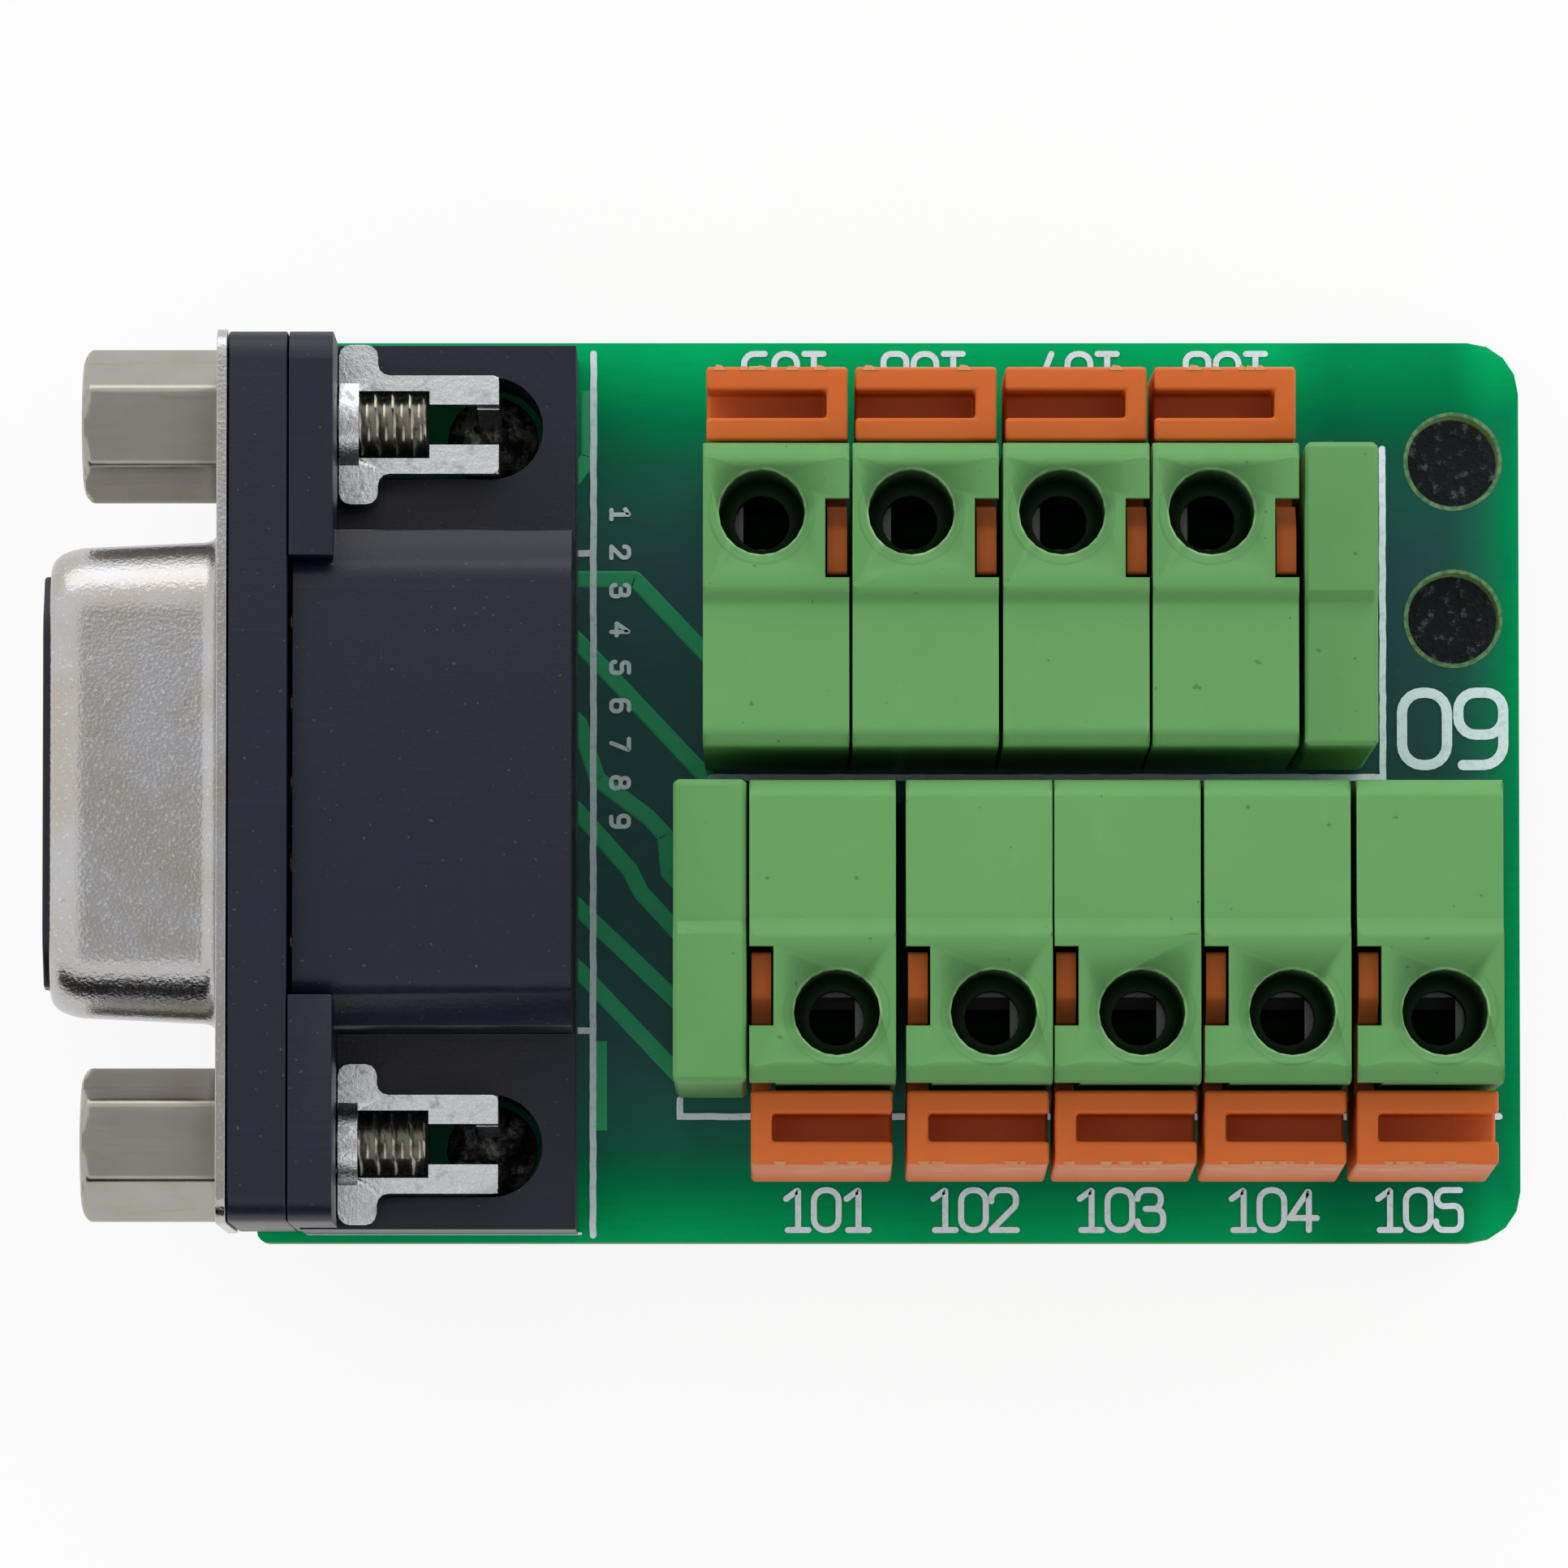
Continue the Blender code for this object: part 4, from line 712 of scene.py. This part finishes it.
def add_front_shell():
    """Drawn nose with its root fillet and rolled lip, on the flat flange."""
    stations = [(ROOT_FILLET * (1 - math.cos(angle)), ROOT_FILLET * (math.sin(angle) - 1))
                for angle in quarter(6)]
    straight = NOSE_REACH - LIP_LENGTH - ROOT_FILLET
    stations += [(ROOT_FILLET + straight * step / 7, D_TAPER * step / 7) for step in range(1, 7)]
    stations += [(NOSE_REACH - LIP_LENGTH * (1 - math.sin(angle)),
                  D_TAPER + LIP_INSET * (1 - math.cos(angle))) for angle in quarter(10)]

    def fill(shape):
        nose = band(shape, [d_ring(reach, inset) for reach, inset in stations])
        half_y = (SHELL_HIGH.y - SHELL_LOW.y) / 2
        half_z = (SHELL_HIGH.z - SHELL_LOW.z) / 2
        corners = [(-half_y, -half_z), (half_y, -half_z), (half_y, half_z), (-half_y, half_z)]
        rim = [shape.verts.new((FLANGE_FRONT, y + DSUB_Y, z + DSUB_Z))
               for y, z in rounded(corners, [FLANGE_CORNER] * 4, steps=6)]
        loops = [rim, nose[0]]
        for side in (1, -1):
            ring = circle(FLANGE_FRONT, DSUB_Y + side * SCREW_HALF, DSUB_Z, SCREW_HOLE / 2,
                          upright=True)
            loops.append([shape.verts.new(point) for point in ring])
        fill_between(shape, loops)

    shell = mesh_piece("front_shell_sheet", fill)
    biggest = max(shell.data.polygons, key=lambda face: face.area)
    if biggest.normal.x > 0:
        shell.data.flip_normals()
    shade(shell, 40.0)
    sheet = shell.modifiers.new("Sheet", "SOLIDIFY")
    sheet.thickness = SHELL_SHEET * MM
    sheet.offset = -1.0
    sheet.use_even_offset = True
    round_edges(shell, 0.1, 3, 60.0)
    dress(shell, "nickel", instead=["dsub_front_shell"])


def fill_out_nose(shape):
    """Widens the insulator's nose beyond its contact holes, to fill the shell."""
    for vert in shape.verts:
        place = vert.co / MM
        reach = abs(place.y - DSUB_Y)
        if place.x < FLANGE_FRONT - INSULATOR_NOSE and reach > INSULATOR_KEEP:
            shift = INSULATOR_WIDEN * min(1.0, (reach - INSULATOR_KEEP) / INSULATOR_BLEND)
            vert.co.y += math.copysign(shift, place.y - DSUB_Y) * MM


def raise_shoulders(shape):
    """Brings the feet of the body's sloping shoulders up."""
    near, far = SHOULDER_FEET_Y
    under, over = SHOULDER_FEET_Z
    for vert in shape.verts:
        place = vert.co / MM
        if near < abs(place.y - DSUB_Y) < far and under < place.z < over:
            vert.co.z += SHOULDER_LIFT * MM


# Jackscrews

HEX_FLATS = 4.72
HEX_LENGTH = 4.79
HEX_FILLET = 0.35
HEX_NOSE = 2.05  # flat ring left at the turned front
HEX_NOSE_RUN = 0.6
HEX_REAR_ROUND = 0.12
HEX_TURN = {"upper": 4.0, "lower": -2.0}
STUD_RADIUS = 1.42
STUD_TIP = 0.3
BORE_RADIUS = 1.3
BORE_DEPTH = 4.1
BORE_CHAMFER = 0.12
BORE_THREAD_START = 0.3
BORE_THREAD_DEPTH = 0.24
THREAD_PITCH = 0.6
THREAD_DEPTH = 0.34
THREAD_STEPS = 8


def hex_radius(off):
    """Radius of the filleted hex, off degrees round from a corner."""
    off = math.radians((off + 30.0) % 60.0 - 30.0)
    apothem = HEX_FLATS / 2
    centre = (apothem - HEX_FILLET) / math.cos(math.pi / 6)
    edge = math.atan2(HEX_FILLET / 2, centre + HEX_FILLET * math.cos(math.pi / 6))
    if abs(off) < edge:
        across = centre * math.sin(off)
        return centre * math.cos(off) + math.sqrt(HEX_FILLET ** 2 - across ** 2)
    return apothem / math.cos(math.pi / 6 - abs(off))


def thread_dip(x, degrees, depth):
    """How far the thread's groove lies below its crest at a place along and round it."""
    phase = (x / THREAD_PITCH - degrees / 360.0) % 1.0
    return depth * min(1.0, max(0.0, 1.25 - 2.9 * abs(phase - 0.5)))


def jackscrew_rings(front, end):
    """Each x with its radius by degrees, from the bore's floor out to the stud's tip.

    A radius holds only until the next x is asked for.
    """
    rear = front + HEX_LENGTH
    step = THREAD_PITCH / THREAD_STEPS
    yield front + BORE_DEPTH, lambda off: 0.05
    for index in range(int((BORE_DEPTH - BORE_THREAD_START) / step), -1, -1):
        x = front + BORE_THREAD_START + index * step
        yield x, lambda off: BORE_RADIUS - 0.1 + thread_dip(x, off, BORE_THREAD_DEPTH)
    yield front + BORE_CHAMFER, lambda off: BORE_RADIUS + 0.16
    yield front, lambda off: BORE_RADIUS + 0.26
    for turn in quarter(8):
        limit = HEX_NOSE + (HEX_FLATS * 0.585 - HEX_NOSE) * math.sin(turn)
        yield front + HEX_NOSE_RUN * (1 - math.cos(turn)), lambda off: min(hex_radius(off), limit)
    for turn in quarter(3):
        inset = HEX_REAR_ROUND * (1 - math.cos(turn))
        yield rear - HEX_REAR_ROUND * (1 - math.sin(turn)), lambda off: hex_radius(off) - inset
    for index in range(int((end - rear) / step) + 1):
        x = rear + index * step
        tip = STUD_RADIUS - STUD_TIP + (end - x)
        yield x, lambda off: min(tip, STUD_RADIUS - thread_dip(x, off, THREAD_DEPTH))
    yield end, lambda off: STUD_RADIUS - STUD_TIP - 0.08
    yield end, lambda off: 0.05


def add_jackscrew(side):
    node = f"jackscrew_{side}"
    low, high = box_mm(node)
    y = (low.y + high.y) / 2
    z = (low.z + high.z) / 2
    offs = [corner * 60.0 + off for corner in range(6)
            for off in (-4.2, -2.1, 0.0, 2.1, 4.2, 15.0, 25.0, 35.0, 45.0)]
    marks = [(off, math.radians(off + HEX_TURN[side])) for off in offs]

    def fill(shape):
        rings = [[(x, y + radius_at(off) * math.cos(angle), z + radius_at(off) * math.sin(angle))
                  for off, angle in marks] for x, radius_at in jackscrew_rings(low.x, high.x)]
        band(shape, rings, ends=(0, -1))

    dress(mesh_piece(f"turned_screw_{side}", fill, 38.0), "turned", instead=[node])


# Solder

HOLE_SOLDER_TOP = 2.9  # solder level in the bracket holes
LOCK_HOLE_RADIUS = 1.55
LOCK_PAD_RADIUS = 2.1
LOCK_LEG_MIDDLE = 0.34  # from the bracket's rear end
LUMP_HEIGHT = 0.22  # smooth unevenness of the solder, up and down
PIN_PAD_RADIUS = 0.95
PIN_SPREAD = 1.3  # vertices nearer than this belong to one pin


def add_solder_plug(side, seed):
    """Solder that fills a bracket hole round the two legs, dished and lumpy on top."""
    low, high = box_mm(f"fork_bracket_{side}")
    x = high.x - LOCK_LEG_MIDDLE
    y = (low.y + high.y) / 2
    profile = [(0.15, -0.25), (0.4, -0.2), (0.7, -0.1), (1.0, 0.0), (1.25, 0.14), (1.45, 0.3),
               (LOCK_HOLE_RADIUS, 0.42)]
    under = [(LOCK_HOLE_RADIUS, -0.3), (LOCK_PAD_RADIUS, 0.02), (1.8, 0.3), (1.5, 0.8),
             (1.1, 1.15), (0.5, 1.3), (0.15, 1.32)]

    def fill(shape):
        rings = []
        for radius, lift in profile:
            ring = circle(x, y, HOLE_SOLDER_TOP + lift, radius)
            rings.append([(px, py, pz + LUMP_HEIGHT * noise.noise((px * 1.7, py * 1.7, seed)))
                          for px, py, pz in ring])
        rings += [circle(x, y, BOARD_UNDER - drop, radius) for radius, drop in under]
        band(shape, rings, ends=(0, -1))

    dress(mesh_piece(f"lock_solder_{side}", fill, 50.0), "flux")


def tails(node):
    """Middles of the pins that a node has below the board."""
    places = []
    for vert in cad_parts[node].data.vertices:
        here = vert.co / MM
        if here.z > BOARD_UNDER - 0.5:
            continue
        for group in places:
            if (group[0].xy - here.xy).length < PIN_SPREAD:
                group.append(here)
                break
        else:
            places.append([here])
    return [sum((point.xy for point in group), Vector((0, 0))) / len(group) for group in places]


def add_pin_joints():
    """Tinned pad and solder cone round every pin under the board."""
    cone = [(PIN_PAD_RADIUS, -0.01), (PIN_PAD_RADIUS, 0.03), (PIN_PAD_RADIUS - 0.12, 0.04),
            (0.66, 0.16), (0.5, 0.42), (0.44, 0.8), (0.3, 1.05), (0.08, 1.12)]
    nodes = [f"dsub_contact_{number}" for number in CONTACTS]
    nodes += [f"current_bar_{number}" for number in POLES]

    def fill(shape):
        for node in nodes:
            for x, y in tails(node):
                rings = [circle(x, y, BOARD_UNDER - drop, radius, 20) for radius, drop in cone]
                band(shape, rings, ends=(-1,))

    dress(mesh_piece("pin_solder", fill, 40.0), "pad")


# Artwork on the board

ARTWORK_LIFT = 0.03
LEGEND_WIDTH = 0.21
TRACE_WIDTH = 0.46
TRACE_SLOPE = 0.06
TRACE_LIFT = 0.02
INK_WANDER = 0.012  # unevenness of the printed outlines

# Strokes of each digit in a cell of height 1: points, corner radius, closed
DIGITS = {
    "0": [([(0, 0), (0.62, 0), (0.62, 1), (0, 1)], 0.28, True)],
    "1": [([(0.06, 0.78), (0.36, 1), (0.36, 0)], 0.02, False), ([(0.1, 0), (0.62, 0)], 0, False)],
    "2": [([(0, 0.72), (0, 1), (0.62, 1), (0.62, 0.62), (0, 0)], 0.22, False),
          ([(0, 0), (0.64, 0)], 0, False)],
    "3": [([(0, 0.78), (0, 1), (0.58, 1), (0.58, 0.53), (0.2, 0.53)], 0.2, False),
          ([(0.2, 0.53), (0.64, 0.53), (0.64, 0), (0, 0), (0, 0.22)], 0.2, False)],
    "4": [([(0.48, 0), (0.48, 1), (0, 0.3)], 0.02, False), ([(0, 0.3), (0.68, 0.3)], 0, False)],
    "5": [([(0.6, 1), (0.05, 1), (0, 0.58), (0.62, 0.62), (0.62, 0), (0, 0), (0, 0.22)], 0.18,
           False)],
    "6": [([(0, 0), (0.62, 0), (0.62, 0.58), (0, 0.58)], 0.24, True),
          ([(0, 0.3), (0, 1), (0.56, 1)], 0.28, False)],
    "7": [([(0, 1), (0.64, 1), (0.24, 0)], 0.05, False)],
    "8": [([(0, 0), (0.62, 0), (0.62, 0.53), (0, 0.53)], 0.22, True),
          ([(0.05, 0.53), (0.57, 0.53), (0.57, 1), (0.05, 1)], 0.2, True)],
    "9": [([(0, 0.42), (0.62, 0.42), (0.62, 1), (0, 1)], 0.24, True),
          ([(0.62, 0.7), (0.62, 0), (0.06, 0)], 0.28, False)],
}


def rounded_path(points, radius, closed=False):
    radii = [radius] * len(points)
    if not closed:
        radii[0] = radii[-1] = 0
    return rounded(points, radii, 5)


def ribbon(shape, points, width, lift, closed=False, slope=0.0, draw=None):
    """Flat stripe along a path on the board, with round ends, or with sloping sides."""
    path = [Vector(point) for point in points]
    count = len(path)
    half = width / 2
    section = [(-half, lift), (half, lift)]
    if slope:
        section = [(-half - slope, 0.0), *section, (half + slope, 0.0)]
    ways = [(ahead - here).normalized() for here, ahead in zip(path, path[1:] + path[:1])]
    rows = []
    for index, here in enumerate(path):
        first = ways[index - 1] if closed or index else ways[0]
        last = ways[index] if closed or index < count - 1 else first
        along = (first + last).normalized()
        side = Vector((-along.y, along.x)) / max(0.5, along.dot(first))
        jolt = draw.uniform(-INK_WANDER, INK_WANDER) if draw else 0.0
        rows.append([shape.verts.new((*(here + side * (offset + jolt)), BOARD_TOP + level))
                     for offset, level in section])
    for row, following in zip(rows, rows[1:] + (rows[:1] if closed else [])):
        for column in range(len(row) - 1):
            shape.faces.new((row[column], following[column], following[column + 1],
                             row[column + 1]))
    if slope or closed:
        return
    for end, inner, row in ((path[0], path[1], rows[0]), (path[-1], path[-2], rows[-1])):
        away = (end - inner).normalized()
        start = math.atan2(away.y, away.x)
        cap = [shape.verts.new((end.x + half * math.cos(start + turn),
                                end.y + half * math.sin(start + turn), BOARD_TOP + lift))
               for turn in map(math.radians, (60, 30, 0, -30, -60))]
        near, far = reversed(row) if row is rows[-1] else row
        shape.faces.new((near, *cap, far))


def print_digits(shape, text, px, py, height, turn=0.0, pitch=1.06, weight=LEGEND_WIDTH):
    """Row of digits centred on a pixel of the photograph."""
    middle = Vector(photo_place(px, py, BOARD_TOP))
    spin = Matrix.Rotation(turn, 2)
    length = (len(text) - 1) * pitch + 0.62 * height
    for place, digit in enumerate(text):
        for layer, (points, radius, closed) in enumerate(DIGITS[digit]):
            path = [middle + spin @ Vector((x * height + place * pitch - length / 2,
                                            (y - 0.5) * height))
                    for x, y in rounded_path(points, radius, closed)]
            ribbon(shape, path, weight, ARTWORK_LIFT + 0.002 * layer, closed)


def photo_path(points):
    return [photo_place(px, py, BOARD_TOP) for px, py in points]


def split_path(points, step=0.35):
    """The same path with points at most step apart."""
    path = []
    for first, last in zip(points, points[1:]):
        first, last = Vector(first), Vector(last)
        parts = max(1, round((last - first).length / step))
        path += [first.lerp(last, part / parts) for part in range(parts)]
    return path + [Vector(points[-1])]


def add_legend():
    """Printed outlines of the parts, and plain counting numbers at the terminals."""
    draw = random.Random(11)
    outlines = [
        [(731, 434), (731, 1522)],
        [(708, 681), (728, 681)], [(708, 1270), (728, 1270)],
        [(1704, 552), (1704, 958), (876, 958)],
        [(838, 1355), (838, 1376), (1846, 1376)], [(1288, 1356), (1288, 1374)],
    ]

    def fill(shape):
        for layer, line in enumerate(outlines):
            ribbon(shape, split_path(photo_path(line)), 0.23, ARTWORK_LIFT + 0.001 * layer,
                   draw=draw)
        ribbon(shape, split_path(photo_path([(380, 1520), (716, 1520)])), 0.1, ARTWORK_LIFT)
        for number, px in zip(LOWER_POLES, (1018, 1199, 1379, 1566, 1746)):
            print_digits(shape, f"{number + 100}", px, 1491, 1.4)
        for number, px in zip(UPPER_POLES, (1513, 1330, 1140, 968)):
            print_digits(shape, f"{number + 100}", px, 457, 1.3, math.pi)
        for number in CONTACTS:
            print_digits(shape, f"{number}", 764, 632 + (number - 1) * 47.5, 0.62,
                         -math.pi / 2, weight=0.15)
        print_digits(shape, "09", 1790, 898, 2.55, pitch=1.98, weight=0.36)

    dress(mesh_piece("board_legend", fill), "legend")


def add_traces():
    """Covered copper runs from the D-sub pins towards the terminals."""
    runs = [
        [(700, 713), (782, 713), (880, 816)],
        [(700, 779), (712, 790), (880, 968)],
        [(700, 878), (714, 892), (736, 960), (800, 1008), (820, 1030), (824, 1075), (846, 1098)],
        [(700, 988), (714, 1002), (737, 1028), (776, 1072), (790, 1100), (846, 1160)],
        [(700, 1106), (714, 1120), (846, 1245)],
        [(700, 1184), (714, 1196), (846, 1335)],
        [(705, 590), (726, 562), (726, 480)],
        [(738, 1283), (738, 1393)],
    ]

    def fill(shape):
        for layer, run in enumerate(runs):
            path = rounded_path(photo_path(run), 0.12)
            ribbon(shape, path, TRACE_WIDTH, TRACE_LIFT - 0.001 * layer, slope=TRACE_SLOPE)

    dress(mesh_piece("covered_runs", fill), "trace")


def add_mount_rims():
    """Narrow ring of bare laminate where the solder mask stops short of each mounting hole."""
    def fill(shape):
        for x, y in MOUNT_HOLES:
            rings = [circle(x, y, BOARD_TOP + lift, radius, 48)
                     for radius, lift in ((1.58, -0.05), (1.61, 0.012), (1.74, 0.012))]
            band(shape, rings)

    dress(mesh_piece("drilled_rims", fill, 60.0), "rim")


def add_dark_rests():
    """Dark studio rests, seen through the two mounting holes."""
    def fill(shape):
        for x, y in MOUNT_HOLES:
            bmesh.ops.create_circle(shape, cap_ends=True, radius=1.75, segments=32,
                                    matrix=Matrix.Translation((x, y, 0.9)))

    rests = mesh_piece("dark_rests", fill)
    rests.data.materials.append(FOAM)


# Terminals, in each pole's own axes

PLATE_EDGE = 0.06
NEAR = 0.01  # places nearer than this are the same
SEAM_REACH = 0.145  # how far the moulded edges go out to meet the next pole
TOP_ROUND = 0.32  # more rounding of the top's front and back edges
# Shifts of the pole's vertices: axis (0 X, 1 Y, 2 Z), its level, least height, axis moved, shift
POLE_SHIFTS = [(0, -2.84, -1.0, 0, -SEAM_REACH), (0, 1.86, -1.0, 0, SEAM_REACH),
               (1, -2.24, 13.9, 1, TOP_ROUND), (1, -2.4, 13.83, 2, -TOP_ROUND),
               (1, 7.84, 13.5, 1, -TOP_ROUND), (1, 8.0, 13.3, 2, -TOP_ROUND)]
LEVER_EDGE = 0.14
CHEEK_EDGE = 0.07
THUMB_LOW = Vector((-2.95, -5.15, 3.2))
THUMB_HIGH = Vector((1.91, -2.6, 12.0))
THUMB_FLARE = 0.3
RECESS_START = -2.22
RECESS_BAR = 0.8
RECESS_FLOOR = 9.6
CHEEK_SIDES = (-2.92, -2.25)
CHEEK_OUTLINE = [(1.25, 0.55), (1.25, 3.45), (2.1, 7.5), (2.1, 13.1), (0.5, 13.1), (-0.3, 12.2),
                 (-0.3, 9.0), (-3.875, 9.0), (-3.875, 3.7), (-2.3, 0.55)]
CHEEK_RADII = [1.4, 0.8, 0.5, 0.15, 0.3, 0.15, 0.4, 0.2, 0.2, 1.2]
BOSS_PLACE = (-0.2, 2.0)
BOSS_HOLE_RADIUS = 0.85
LUG_LOW = Vector((-2.585, -1.25, 7.345))
LUG_HIGH = Vector((-1.02, -0.55, 8.045))


def rounded_part(shape, fill, width, segments):
    """Adds to the mesh a part whose sharp edges are rounded."""
    part = bmesh.new()
    fill(part)
    bmesh.ops.recalc_face_normals(part, faces=part.faces)
    sharp = [edge for edge in part.edges if edge.calc_face_angle(0.0) > 0.6]
    bmesh.ops.bevel(part, geom=sharp, offset=width, segments=segments, profile=0.5,
                    affect="EDGES", clamp_overlap=True)
    scratch = bpy.data.meshes.new("part")
    part.to_mesh(scratch)
    part.free()
    shape.from_mesh(scratch)
    bpy.data.meshes.remove(scratch)


def fill_thumb(part):
    """Thumb block with its recess open at one end."""
    low, high = THUMB_LOW, THUMB_HIGH
    inner = high.y - RECESS_BAR
    outer = low.y + RECESS_BAR
    foot = low.y - THUMB_FLARE
    top = [(low.x, high.y), (high.x, high.y), (high.x, inner), (RECESS_START, inner),
           (RECESS_START, outer), (high.x, outer), (high.x, low.y), (low.x, low.y)]
    bottom = [(low.x, high.y), (high.x, high.y), (high.x, foot), (low.x, foot)]
    levels = ((high.z, top), (RECESS_FLOOR, top[2:6]), (low.z, bottom))
    verts = [part.verts.new((x, y, z)) for z, places in levels for x, y in places]
    for face in (range(8), range(8, 12), range(12, 16), (2, 3, 9, 8), (3, 4, 10, 9),
                 (4, 5, 11, 10), (0, 1, 13, 12), (7, 0, 12, 15), (6, 7, 15, 14),
                 (1, 2, 8, 11, 5, 6, 14, 13)):
        part.faces.new([verts[index] for index in face])


def fill_cheek(part):
    """Cheek with its boss hole, and the finger that shows in the pole's window."""
    hole = [(y, z) for _, y, z in circle(0.0, *BOSS_PLACE, BOSS_HOLE_RADIUS, 24, upright=True)]
    outline = rounded(CHEEK_OUTLINE, CHEEK_RADII, 5)
    sides = []
    for x in CHEEK_SIDES:
        loops = [[part.verts.new((x, y, z)) for y, z in loop] for loop in (outline, hole)]
        fill_between(part, loops)
        sides.append(loops)
    for near, far in zip(*sides):
        for index in range(len(near)):
            ahead = (index + 1) % len(near)
            part.faces.new((near[index], near[ahead], far[ahead], far[index]))


def fill_lug(part):
    middle = (LUG_LOW + LUG_HIGH) / 2
    size = LUG_HIGH - LUG_LOW
    place = Matrix.Translation(middle) @ Matrix.Diagonal((*size, 1.0))
    bmesh.ops.create_cube(part, size=1.0, matrix=place)


def fill_lever(shape):
    rounded_part(shape, fill_thumb, LEVER_EDGE, 4)
    rounded_part(shape, fill_cheek, CHEEK_EDGE, 2)
    rounded_part(shape, fill_lug, CHEEK_EDGE, 2)


def reshape_pole(shape):
    """Closes the seams between poles and rounds the top's front and back edges."""
    for vert in shape.verts:
        place = vert.co / MM
        for axis, level, base, moved, shift in POLE_SHIFTS:
            if abs(place[axis] - level) < NEAR and place.z > base:
                vert.co[moved] += shift * MM
    lines = []  # sharp edges that cross the whole top
    for edge in shape.edges:
        first, last = (vert.co / MM for vert in edge.verts)
        if abs(first.x - last.x) > 4.0 and (first - last).yz.length < NEAR and first.z > 13.0:
            if edge.calc_face_angle(0.0) > 0.5:
                lines.append(edge)
    bmesh.ops.bevel(shape, geom=lines, offset=0.16 * MM, segments=3, profile=0.5, affect="EDGES",
                    clamp_overlap=False)


def add_poles():
    for number in POLES:
        place = pole_place(number)
        housing = f"pole_housing_{number}"
        add_softened(housing, "pole", place=place, reshape=reshape_pole)
        lever = f"lever_{number}"
        piece = mesh_piece(f"{lever}_moulding", fill_lever, 40.0)
        piece.matrix_world = place
        weigh_normals(piece)
        dress(piece, "orange", f"lever_body_{number}", [lever])
    for side in SIDES:
        add_softened(f"end_plate_{side}", "green", PLATE_EDGE)


def add_flash():
    """Ragged slivers of flash along each lever's outer top edge."""
    draw = random.Random(5)
    for number in POLES:
        low, high = box_mm(f"lever_{number}")
        place = pole_place(number)
        width = high.x - low.x
        start = FLASH_START + draw.uniform(0.0, 0.8)
        pieces = []
        while start < width - 0.6:
            run = draw.uniform(0.15, 0.6)
            if draw.random() < 0.4 or not pieces:
                pieces.append((start, run, draw.uniform(0.03, 0.1)))
            start += run

        def fill(shape):
            for along, run, reach in pieces:
                x = along - HOLE_SIDE
                y, z = FLASH_TIP
                points = [(x, *FLASH_FOOT), (x + run, *FLASH_FOOT),
                          (x + run * 0.75, y - reach, z), (x + run * 0.3, y - reach * 0.6, z)]
                shape.faces.new([shape.verts.new(point) for point in points])

        flash = mesh_piece(f"lever_flash_{number}", fill)
        flash.matrix_world = place
        flash.modifiers.new("Sheet", "SOLIDIFY").thickness = 0.03 * MM
        dress(flash, "flash", f"lever_body_{number}")


def finish_plain_nodes():
    """Gives the nodes that stay their finish."""
    plain = {"pcb": "board"}
    for number in CONTACTS:
        plain[f"dsub_contact_{number}"] = "gold"
    for number in POLES:
        plain[f"current_bar_{number}"] = "cage"
        plain[f"clamp_spring_{number}"] = "steel"
    for name, finish in plain.items():
        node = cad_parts[name]
        for slot in node.material_slots:
            slot.material = FINISHES[finish]


add_front_shell()
add_softened("dsub_rear_housing", "black", 0.22, 3, reshape=raise_shoulders)
add_softened("dsub_front_insulator", "black", 0.12, 2, reshape=fill_out_nose)
for side in SIDES:
    add_softened(f"fork_bracket_{side}", "tin", 0.09, 3)
for side in SIDES:
    add_jackscrew(side)
add_solder_plug("upper", 3.0)
add_solder_plug("lower", 9.0)
add_pin_joints()
add_legend()
add_traces()
add_mount_rims()
add_dark_rests()
add_poles()
add_flash()
finish_plain_nodes()
